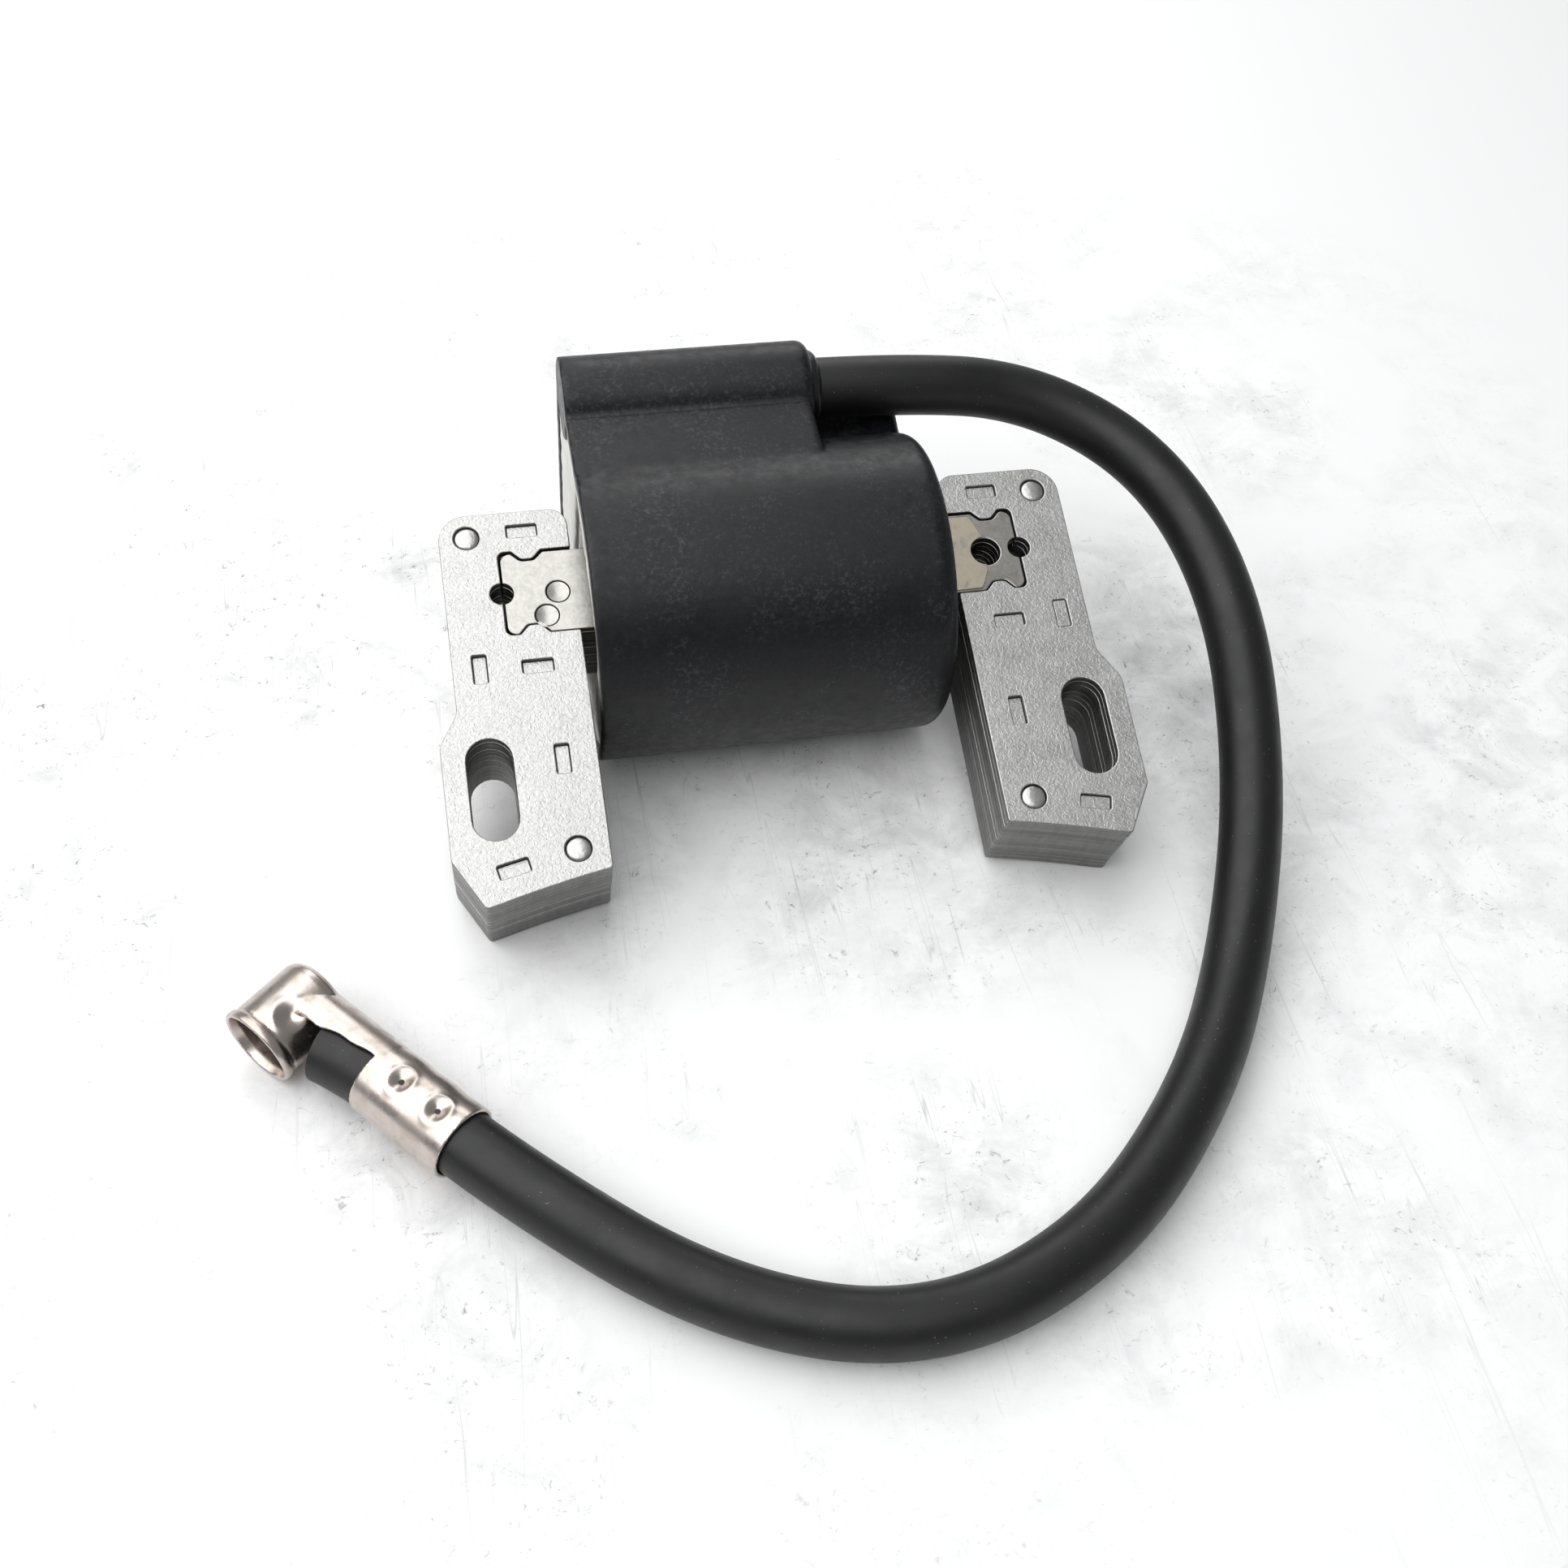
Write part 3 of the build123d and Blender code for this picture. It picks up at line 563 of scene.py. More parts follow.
@dataclass(frozen=True)
class SheetSteel(Finish):
    """Plated silicon steel: orange peel on the faces, sheared streaks on the edges."""

    edge_colour: str = "#7c7b79"
    roughness: float = 0.42
    edge_roughness: float = 0.5
    peel: float = 0.36
    peel_depth: float = 0.07
    blotch: float = 2.6

    def dress(self, shader: Shader) -> None:
        """See Finish.dress."""
        flat = shader.level(shader.facing(STACK_NORMAL), (0.55, 0.0), (0.85, 1.0))
        blotches = shader.noise(self.blotch, 5.0, 0.62, 0.6)
        grain = shader.noise(self.peel * 0.8, 3.0, 0.6, 0.6)
        mottle = shader.math(
            "ADD", shader.math("MULTIPLY", blotches, 0.6), shader.math("MULTIPLY", grain, 0.9))
        tone = shader.level(mottle, (0.5, 0.78), (0.95, 1.08))
        face = shader.mix(1.0, srgb(self.colour), tone, "MULTIPLY")
        # each sheet of the stack takes the light a little differently
        across = shader.mapped((0.0, 0.0, 1.0 / STACK.pitch), -TILT)
        number = add_node(shader.tree, "ShaderNodeVectorMath", {"operation": "FLOOR"}, {0: across})
        sheets = add_node(
            shader.tree,
            "ShaderNodeTexWhiteNoise",
            {"noise_dimensions": "3D"},
            {"Vector": number.outputs[0]},
        ).outputs[0]
        # the shear drags along each edge, so its streaks run across the sheets
        streaks = shader.noise(0.5, 3.0, 0.6, 0.0, shader.mapped((1.0, 1.0, 0.12), -TILT))
        uneven = shader.math("ADD", streaks, shader.math("MULTIPLY", sheets, 0.35))
        edge_tone = shader.level(uneven, (0.3, 0.6), (0.95, 1.15))
        edge = shader.mix(1.0, srgb(self.edge_colour), edge_tone, "MULTIPLY")
        shader.link("Base Color", shader.mix(flat, edge, face))
        shader.set(Metallic=1.0)
        rough = shader.math("ADD", shader.math("MULTIPLY", blotches, 0.16), self.roughness - 0.08)
        edge_rough = shader.math("ADD", shader.math("MULTIPLY", streaks, 0.2), self.edge_roughness - 0.1)
        on_face = shader.math("MULTIPLY", rough, flat)
        on_edge = shader.math("MULTIPLY", edge_rough, shader.math("SUBTRACT", 1.0, flat))
        shader.link("Roughness", shader.math("ADD", on_face, on_edge))
        peel = shader.noise(self.peel, 2.5, 0.55, 0.8)
        shader.bump(shader.math("MULTIPLY", peel, flat), self.peel_depth, 0.9)
        shader.bump(shader.noise(0.12, 1.0), 0.004, 0.5)
        shader.bump(streaks, 0.01, 0.6)


@dataclass(frozen=True)
class MouldedPlastic(Finish):
    """Glass-filled moulding: satin black with pale specks and a fine sparked grain."""

    speck_colour: str = "#5d5e61"
    roughness: float = 0.5
    grain: float = 0.22
    grain_depth: float = 0.012
    specks: float = 0.5

    def dress(self, shader: Shader) -> None:
        """See Finish.dress."""
        dust = shader.noise(0.5, 4.0, 0.7)
        drift = shader.noise(8.5, 3.0, 0.6)
        worn = shader.level(drift, (0.45, 0.12), (0.64, 1.0))
        flecks = shader.math("MULTIPLY", shader.level(dust, (0.5, 0.0), (0.76, self.specks)), worn)
        shader.link("Base Color", shader.mix(flecks, srgb(self.colour), srgb(self.speck_colour)))
        flow = shader.noise(1.4, 3.0, 0.6)
        shader.shine(flow, (0.35, self.roughness - 0.06), (0.7, self.roughness + 0.1))
        shader.set(Specular_IOR_Level=0.4)
        shader.bump(shader.noise(self.grain, 2.0, 0.6), self.grain_depth, 0.8)
        shader.bump(shader.noise(1.1, 2.0, 0.5), 0.03, 0.35)


@dataclass(frozen=True)
class LeadRubber(Finish):
    """Extruded rubber jacket: matt black, faint extrusion lines and a few bits of lint."""

    roughness: float = 0.46

    def dress(self, shader: Shader) -> None:
        """See Finish.dress."""
        lint = shader.noise(0.28, 2.0, 0.5)
        shader.stain(lint, (0.735, 0.0), (0.76, 1.0), (self.colour, "#6f6f6d"))
        smear = shader.noise(4.0, 3.0, 0.6)
        shader.shine(smear, (0.3, self.roughness - 0.06), (0.75, self.roughness + 0.09))
        shader.bump(shader.noise(0.16, 2.0, 0.5), 0.006, 0.6)
        shader.bump(shader.noise(2.2, 2.0, 0.5), 0.03, 0.3)


@dataclass(frozen=True)
class BrightPlate(Finish):
    """Tin or nickel plate on formed sheet: mirror-like, softly dented, with faint stains."""

    roughness: float = 0.2
    dents: float = 2.4
    dent_depth: float = 0.05

    def dress(self, shader: Shader) -> None:
        """See Finish.dress."""
        film = shader.noise(2.0, 4.0, 0.6, 0.5)
        shader.stain(film, (0.45, 0.0), (0.7, 0.45), (self.colour, "#a79b86"))
        shader.set(Metallic=1.0)
        shader.shine(film, (0.3, self.roughness - 0.05), (0.75, self.roughness + 0.14))
        shader.bump(shader.noise(self.dents, 2.0, 0.5), self.dent_depth, 0.5)
        scratches = shader.noise(0.35, 2.0, 0.6, 0.0, shader.mapped((1.0, 0.12, 0.6), 0.5))
        shader.bump(scratches, 0.006, 0.5)


@dataclass(frozen=True)
class CastResin(Finish):
    """Poured epoxy: pale, faintly glossy, with a skin that is not quite level. On the potting the pale
    colour is a painted reflection of grazing light, as that resin is dark.
    """

    roughness: float = 0.38

    def dress(self, shader: Shader) -> None:
        """See Finish.dress."""
        cloud = shader.noise(3.0, 4.0, 0.6)
        shader.stain(cloud, (0.35, 0.0), (0.7, 1.0), (self.colour, "#c4c2bb"))
        shader.set(Roughness=self.roughness, IOR=1.55)
        shader.bump(shader.noise(1.6, 2.0, 0.5), 0.06, 0.5)


@dataclass(frozen=True)
class Nylon(Finish):
    """Moulded nylon of a bobbin or a wedge: satin, with slight flow clouding."""

    roughness: float = 0.45

    def dress(self, shader: Shader) -> None:
        """See Finish.dress."""
        flow = shader.noise(2.5, 3.0, 0.5, 1.0)
        shader.stain(flow, (0.4, 0.0), (0.7, 0.3), (self.colour, "#8a8a86"))
        shader.shine(flow, (0.3, self.roughness - 0.05), (0.7, self.roughness + 0.1))
        shader.bump(shader.noise(0.3, 2.0, 0.5), 0.006, 0.6)


@dataclass(frozen=True)
class EnamelledWire(Finish):
    """Layers of enamelled copper wire: fine turns side by side along the coil's axis."""

    pitch: float = 0.35

    def dress(self, shader: Shader) -> None:
        """See Finish.dress."""
        turns = add_node(
            shader.tree,
            "ShaderNodeTexWave",
            {
                "wave_type": "BANDS",
                "bands_direction": "X",
                "Scale": WAVE_PERIOD / self.pitch,
                "Distortion": 0.3,
            },
            {"Vector": shader.mapped()},
        ).outputs[0]
        tone = shader.level(shader.noise(1.5, 3.0, 0.6), (0.3, 0.7), (0.7, 1.1))
        shader.link("Base Color", shader.mix(1.0, srgb(self.colour), tone, "MULTIPLY"))
        shader.set(Metallic=1.0, Coat_Weight=0.6, Coat_Roughness=0.15)
        shader.shine(turns, (0.0, 0.42), (1.0, 0.26))
        shader.bump(turns, self.pitch * 0.3, 0.9)


@dataclass(frozen=True)
class Film(Finish):
    """Wrapped polyester film: translucent amber with lap lines and small wrinkles."""

    def dress(self, shader: Shader) -> None:
        """See Finish.dress."""
        wrinkle = shader.noise(3.0, 3.0, 0.6, 0.8, shader.mapped((0.4, 1.0, 1.0)))
        shader.stain(wrinkle, (0.35, 0.0), (0.7, 1.0), (self.colour, "#8f6a26"))
        shader.set(Roughness=0.22, Transmission_Weight=0.15)
        shader.bump(wrinkle, 0.08, 0.5)


@dataclass(frozen=True)
class BoardLaminate(Finish):
    """Glass-epoxy board: solder resist over a fine weave."""

    weave: float = 0.55

    def dress(self, shader: Shader) -> None:
        """See Finish.dress."""
        cloth = shader.math("ADD", self.band(shader, "X"), self.band(shader, "Z"))
        shader.stain(cloth, (0.4, 0.0), (1.7, 0.5), (self.colour, "#4d6b3a"))
        shader.set(Roughness=0.32, Coat_Weight=0.3)
        shader.bump(cloth, 0.02, 0.5)

    def band(self, shader: Shader, direction: str) -> bpy.types.NodeSocket:
        """One direction of the weave.

        Args:
            shader: Node tree that gets the pattern.
            direction: Axis across the threads.

        Returns:
            The threads' pattern.
        """
        return add_node(
            shader.tree,
            "ShaderNodeTexWave",
            {"wave_type": "BANDS", "bands_direction": direction, "Scale": WAVE_PERIOD / self.weave},
            {"Vector": shader.mapped()},
        ).outputs[0]


@dataclass(frozen=True)
class Brass(Finish):
    """Turned brass: fine rings of the tool across the axis, a little tarnish."""

    def dress(self, shader: Shader) -> None:
        """See Finish.dress."""
        rings = shader.noise(0.12, 2.0, 0.6, 0.0, shader.mapped((1.0, 0.05, 0.05)))
        tarnish = shader.noise(1.2, 4.0, 0.6)
        shader.stain(tarnish, (0.45, 0.0), (0.75, 0.7), (self.colour, "#8d6a3a"))
        shader.set(Metallic=1.0)
        shader.shine(tarnish, (0.3, 0.2), (0.75, 0.42))
        shader.bump(rings, 0.008, 0.6)


@dataclass(frozen=True)
class StudioFloor(Finish):
    """White painted board: faint rubbed marks and a few hairline scratches."""

    def dress(self, shader: Shader) -> None:
        """See Finish.dress."""
        radius = add_node(
            shader.tree,
            "ShaderNodeVectorMath",
            {"operation": "LENGTH"},
            {0: shader.mapped()},
        ).outputs["Value"]
        near = shader.level(radius, (70.0, 1.0), (150.0, 0.0))
        patches = shader.level(shader.noise(34.0, 3.0, 0.6, 0.5), (0.4, 0.0), (0.62, 1.0))
        zone = shader.math("MULTIPLY", near, patches)
        smudge = shader.level(shader.noise(9.0, 6.0, 0.72, 0.5), (0.42, 0.0), (0.72, 0.45))
        specks = shader.level(shader.noise(1.3, 4.0, 0.75, 1.6), (0.6, 0.0), (0.72, 1.0))
        hair = shader.noise(7.0, 2.0, 0.5, 1.5, shader.mapped((1.0, 0.03, 1.0)))
        middle = shader.math("ABSOLUTE", shader.math("SUBTRACT", hair, 0.5), 0.0)
        line = shader.level(middle, (0.0, 0.5), (0.004, 0.0))
        marks = shader.math("MAXIMUM", shader.math("ADD", smudge, specks), line)
        marks = shader.math("MULTIPLY", marks, zone)
        shader.link("Base Color", shader.mix(marks, srgb(self.colour), srgb("#77777a")))
        shader.set(Roughness=0.6)


class Finishes(Enum):
    """Every finish on the part, named for its material and how it is made."""

    # pale grey with a fine orange peel, duller and darker on the sheared edges
    LEG_SHEET = SheetSteel("zinc_plated_stamped_silicon_steel", "#c4c4c2", "#858483")
    # a little warmer and brighter than the legs, nearly smooth, with soft stains
    BAR_SHEET = SheetSteel(
        "bright_rolled_stamped_silicon_steel",
        "#b3b1ac",
        "#64635f",
        roughness=0.32,
        edge_roughness=0.46,
        peel=0.7,
        peel_depth=0.014,
        blotch=1.7,
    )
    # the brightest steel, burnished by the peening tool
    RIVET = SheetSteel(
        "peened_steel_rivet",
        "#c6c5c3",
        "#a1a09e",
        roughness=0.36,
        edge_roughness=0.4,
        peel=0.9,
        peel_depth=0.05,
        blotch=1.0,
    )
    # satin blue-black with drifts of pale glass specks
    HOUSING = MouldedPlastic("glass_filled_moulded_nylon_black", "#08090d", "#5c5d63", 0.4)
    # plain black with a soft highlight along its length
    LEAD = LeadRubber("extruded_rubber_black", "#0d0d0e")
    # the same black, a little glossier where it was squeezed
    SEAL = LeadRubber("moulded_rubber_black", "#101011", 0.35)
    # pinkish grey mirror, softened by small dents and stains
    TIN = BrightPlate("tin_plated_pressed_spring_steel", "#c9bfb9", 0.27)
    # flat, pale and faintly golden
    STRAP = BrightPlate("nickel_plated_strip", "#d6cdbb", 0.3, dents=1.6, dent_depth=0.02)
    # cloudy off-white with a wavy skin; the off-white is a painted reflection of grazing light, as the
    # resin is dark
    RESIN_WITH_PAINTED_REFLECTION = CastResin("poured_epoxy_pale_painted_reflection", "#deddd8")
    # dark satin grey
    BOBBIN = Nylon("moulded_nylon_dark_grey", "#2a2a2c")
    # milky white, slightly waxy
    WEDGE = Nylon("moulded_nylon_natural", "#cfcdc4", 0.4)
    # orange-red turns under clear enamel
    COPPER = EnamelledWire("enamelled_copper_wire_winding", "#b4562f")
    # the same, so fine that it looks like brushed metal
    FINE_COPPER = EnamelledWire("enamelled_copper_fine_winding", "#a84d2a", 0.12)
    # glossy amber with darker folds
    FILM = Film("wrapped_polyester_film_amber", "#c99a45")
    # green gloss over a fine cross weave
    BOARD = BoardLaminate("glass_epoxy_laminate_green", "#2d4f27")
    # even matt black
    PACKAGE = MouldedPlastic(
        "transfer_moulded_epoxy_black",
        "#19191a",
        "#38383a",
        roughness=0.42,
        grain=0.12,
        grain_depth=0.006,
        specks=0.3,
    )
    # shiny beige drops
    LACQUER = CastResin("dipped_lacquer_beige", "#c8ab7c", 0.25)
    # yellow metal with fine rings
    BRASS = Brass("turned_brass", "#c99b52")
    # dull silver-grey ends of wire
    STRANDS = Brass("tinned_copper_strands", "#8d867c")


class Wardrobe:
    """Makes each finish's material once and puts it on pieces."""

    def __init__(self) -> None:
        """Start with no materials."""
        self.made: dict[Finishes, bpy.types.Material] = {}

    def material(self, finish: Finishes) -> bpy.types.Material:
        """The material of a finish, made on first use.

        Args:
            finish: The finish.

        Returns:
            Its material.
        """
        if finish not in self.made:
            self.made[finish] = finish.value.build()
        return self.made[finish]

    def dress(self, piece: bpy.types.Object, finish: Finishes, slot: Optional[str] = None) -> None:
        """Put a finish on a piece.

        Args:
            piece: Object to dress.
            finish: Finish that it gets.
            slot: Name of the record's slot for the piece; not used.
        """
        material = self.material(finish)
        if piece.material_slots:
            for place in piece.material_slots:
                place.material = material
        else:
            piece.data.materials.append(material)


WARDROBE = Wardrobe()


# ---- meshes ----------------------------------------------------------------------------------
@dataclass(frozen=True)
class Corner:
    """A corner of an outline, rounded with a radius."""

    x: float
    y: float
    radius: float = 0.0


def arc(centre: Point, radius: float, start: float, end: float, steps: int = 12) -> list[Corner]:
    """Points of an arc.

    Args:
        centre: Centre of the arc.
        radius: Its radius.
        start: Angle in degrees of its first point.
        end: Angle in degrees of its last point.
        steps: Number of steps between them.

    Returns:
        The points, as sharp corners.
    """
    angles = [math.radians(start + (end - start) * step / steps) for step in range(steps + 1)]
    x, y = centre
    return [Corner(x + radius * math.cos(angle), y + radius * math.sin(angle)) for angle in angles]


def rounded(corners: Sequence[Corner], step: float = 12.0) -> list[Point]:
    """Round an outline's corners.

    Args:
        corners: The outline's corners in order.
        step: Degrees between two points of a rounding.

    Returns:
        The points of the closed outline.
    """
    points: list[Point] = []
    count = len(corners)
    for index, corner in enumerate(corners):
        here = Vector((corner.x, corner.y))
        if corner.radius <= 0:
            points.append(tuple(here))
            continue
        before = corners[index - 1]
        after = corners[(index + 1) % count]
        back = (Vector((before.x, before.y)) - here).normalized()
        ahead = (Vector((after.x, after.y)) - here).normalized()
        half = back.angle(ahead) / 2
        reach = corner.radius / math.tan(half)
        centre = here + (back + ahead).normalized() * (corner.radius / math.sin(half))
        first = here + back * reach - centre
        turn = first.angle_signed(here + ahead * reach - centre)
        steps = max(2, round(math.degrees(abs(turn)) / step))
        for number in range(steps + 1):
            angle = -turn * number / steps
            points.append((
                centre.x + first.x * math.cos(angle) - first.y * math.sin(angle),
                centre.y + first.x * math.sin(angle) + first.y * math.cos(angle),
            ))
    return points


def circle(centre: Point, radius: float, steps: int = 40) -> list[Point]:
    """Points of a circle.

    Args:
        centre: Its centre.
        radius: Its radius.
        steps: Number of points.

    Returns:
        The points.
    """
    return [(corner.x, corner.y) for corner in arc(centre, radius, 0, 360, steps)[:-1]]


def box_outline(centre: Point, size: Point, radius: float, turn: float = 0.0) -> list[Point]:
    """Rounded rectangle.

    Args:
        centre: Its centre.
        size: Its length and width.
        radius: Radius of its corners.
        turn: Degrees that it is turned by.

    Returns:
        The points of its outline.
    """
    half_x, half_y = size[0] / 2, size[1] / 2
    signs = ((-1, -1), (1, -1), (1, 1), (-1, 1))
    points = rounded([Corner(sx * half_x, sy * half_y, radius) for sx, sy in signs], 15)
    spin = Matrix.Rotation(math.radians(turn), 2)
    return [tuple(Vector(centre) + spin @ Vector(point)) for point in points]


def plate(
    outlines: Sequence[Sequence[Point]],
    top: float,
    thickness: float,
    edge: float,
    place: Matrix,
) -> bpy.types.Mesh:
    """Flat plate with rounded edges and holes.

    Args:
        outlines: Outer outline and holes, in millimetres.
        top: Height of the upper face.
        thickness: Thickness of the plate.
        edge: Radius of its edges.
        place: Matrix from the outline's frame to the row frame in metres.

    Returns:
        The plate's mesh in the row frame.
    """
    curve = bpy.data.curves.new("plate", "CURVE")
    curve.dimensions = "2D"
    curve.fill_mode = "BOTH"
    curve.extrude = thickness / 2 - edge
    curve.bevel_depth = edge
    curve.bevel_resolution = 2
    curve.offset = -edge
    for outline in outlines:
        spline = curve.splines.new("POLY")
        spline.points.add(len(outline) - 1)
        for point, (x, y) in zip(spline.points, outline):
            point.co = (x, y, 0.0, 1.0)
        spline.use_cyclic_u = True
    holder = bpy.data.objects.new("plate", curve)
    mesh = bpy.data.meshes.new_from_object(holder)
    bpy.data.objects.remove(holder)
    bpy.data.curves.remove(curve)
    mesh.transform(place @ Matrix.Translation((0.0, 0.0, top - thickness / 2)))
    return mesh


def lathe(profile: Sequence[Point], place: Matrix, steps: int = 48) -> bpy.types.Mesh:
    """Turn a profile of (radius, height) points about the local Z axis.

    Args:
        profile: Points from one end of the profile to the other.
        place: Matrix from the local frame in millimetres to the row frame in metres.
        steps: Number of steps round the axis.

    Returns:
        The turned mesh in the row frame.
    """
    shape = bmesh.new()
    rings = []
    for radius, height in profile:
        if radius < 1e-6:
            rings.append([shape.verts.new((0.0, 0.0, height))])
            continue
        rings.append([
            shape.verts.new((corner.x, corner.y, height))
            for corner in arc((0.0, 0.0), radius, 0, 360, steps)[:-1]
        ])
    for low, high in zip(rings, rings[1:]):
        for step in range(steps):
            after = (step + 1) % steps
            if len(low) == 1:
                shape.faces.new((low[0], high[after], high[step]))
            elif len(high) == 1:
                shape.faces.new((low[step], low[after], high[0]))
            else:
                shape.faces.new((low[step], low[after], high[after], high[step]))
    bmesh.ops.recalc_face_normals(shape, faces=shape.faces)
    return finished(shape, place)


def finished(shape: bmesh.types.BMesh, place: Matrix) -> bpy.types.Mesh:
    """Turn a bmesh into a mesh, and free it.

    Args:
        shape: The bmesh.
        place: Matrix from its frame to the row frame.

    Returns:
        The mesh in the row frame.
    """
    mesh = bpy.data.meshes.new("shape")
    shape.transform(place)
    shape.to_mesh(mesh)
    shape.free()
    return mesh


def joined(meshes: Iterable[bpy.types.Mesh]) -> bpy.types.Mesh:
    """Join meshes into one.

    Args:
        meshes: Meshes in the row frame, which are removed.

    Returns:
        The joined mesh.
    """
    shape = bmesh.new()
    for mesh in meshes:
        shape.from_mesh(mesh)
        bpy.data.meshes.remove(mesh)
    return finished(shape, Matrix.Identity(4))


def smooth(mesh: bpy.types.Mesh, angle: float = 35.0) -> None:
    """Shade a mesh smooth.

    Args:
        mesh: The mesh.
        angle: Degrees from which an edge stays sharp.
    """
    mesh.polygons.foreach_set("use_smooth", [True] * len(mesh.polygons))
    mesh.set_sharp_from_angle(angle=math.radians(angle))


def shown(name: str, data: bpy.types.ID) -> bpy.types.Object:
    """Make an object in the scene.

    Args:
        name: Name of the object.
        data: Its mesh, curve, camera or light.

    Returns:
        The new object.
    """
    thing = bpy.data.objects.new(name, data)
    bpy.context.scene.collection.objects.link(thing)
    return thing


def modified(mesh: bpy.types.Mesh, *steps: tuple[str, dict[str, Any]]) -> bpy.types.Mesh:
    """Run modifiers on a mesh and return the result.

    Args:
        mesh: Mesh to change, which is removed.
        steps: Modifier types with their settings, in order.

    Returns:
        The resulting mesh.
    """
    holder = shown("holder", mesh)
    for kind, settings in steps:
        modifier = holder.modifiers.new(kind, kind)
        for name, value in settings.items():
            setattr(modifier, name, value)
    graph = bpy.context.evaluated_depsgraph_get()
    result = bpy.data.meshes.new_from_object(holder.evaluated_get(graph))
    bpy.data.objects.remove(holder)
    bpy.data.meshes.remove(mesh)
    return result


def remeshed(mesh: bpy.types.Mesh, voxel: float, iterations: int) -> bpy.types.Mesh:
    """Melt a mesh into one even skin with softened edges.

    Args:
        mesh: Closed mesh to change, which is removed.
        voxel: Size of the skin's faces in millimetres.
        iterations: How often it is smoothed.

    Returns:
        The new mesh, without materials.
    """
    skin = modified(
        mesh,
        ("REMESH", {"mode": "VOXEL", "voxel_size": voxel * MM, "use_smooth_shade": True}),
        ("SMOOTH", {"factor": 0.5, "iterations": iterations}),
    )
    skin.materials.clear()
    return skin


def piece(
    name: str,
    mesh: bpy.types.ID,
    finish: Finishes,
    slot: str,
    replaces: Sequence[str] = (),
) -> bpy.types.Object:
    """slot: Name of the record's slot for it, handed on to the wardrobe.

    Args:
        name: Name of the piece.
        mesh: Its mesh or curve, in the row frame.
        finish: Its finish.
        slot: The record's slot that it takes its finish from.
        replaces: CAD nodes that it stands for.

    Returns:
        The new object.
    """
    mesh.name = name
    thing = shown(name, mesh)
    WARDROBE.dress(thing, finish, slot)
    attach(thing, "root")
    if replaces:
        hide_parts(*replaces)
    LOG.info("%s: %s faces", name, len(mesh.polygons) if isinstance(mesh, bpy.types.Mesh) else "curve")
    return thing


def cad_copy(node: str) -> bpy.types.Mesh:
    """Copy a CAD node's mesh.

    Args:
        node: Name of the node.

    Returns:
        The copy in the row frame, without materials.
    """
    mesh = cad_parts[node].data.copy()
    mesh.materials.clear()
    return mesh


# ---- laminated core --------------------------------------------------------------------------
class LaminatedStack:
    """Sheets of one outline, pressed together, with what fills their holes."""

    def __init__(self, outline: list[Point], seed: int, side: int = 1) -> None:
        """Describe the stack.

        Args:
            outline: Outline of one sheet on the right-hand side.
            seed: Seed of the sheets' small shifts.
            side: 1 for the right-hand side, -1 for its mirror image.
        """
        self.outline = outline
        self.random = random.Random(seed)
        self.place = COIL @ Matrix.Diagonal((side, 1.0, 1.0, 1.0))

    def sheets(
        self,
        through: Sequence[list[Point]],
        blind: Sequence[list[Point]],
    ) -> list[bpy.types.Mesh]:
        """Build the stack's sheets.

        Args:
            through: Holes through the whole stack.
            blind: Holes of the pressed interlocks, in the two top sheets only.

        Returns:
            One mesh for each sheet.
        """
        meshes = []
        for number in range(STACK.count):
            offset = [self.random.uniform(-STACK.shift, STACK.shift) for _ in range(2)]
            shift = Matrix.Translation([*offset, 0.0])
            holes = list(through) + (list(blind) if number < 2 else [])
            top = STACK.top - number * STACK.pitch
            edge = STACK.edge if number else STACK.top_edge
            place = self.place @ (shift if number else Matrix())
            meshes.append(plate([self.outline, *holes], top, STACK.sheet, edge, place))
        return meshes

    def island(self, outline: list[Point], depth: float) -> bpy.types.Mesh:
        """The pressed-down metal of one interlock.

        Args:
            outline: Its outline.
            depth: How far it is below the upper face.

        Returns:
            Its mesh.
        """
        return plate([outline], STACK.top - depth, STACK.pressed, STACK.pressed_edge, self.place)


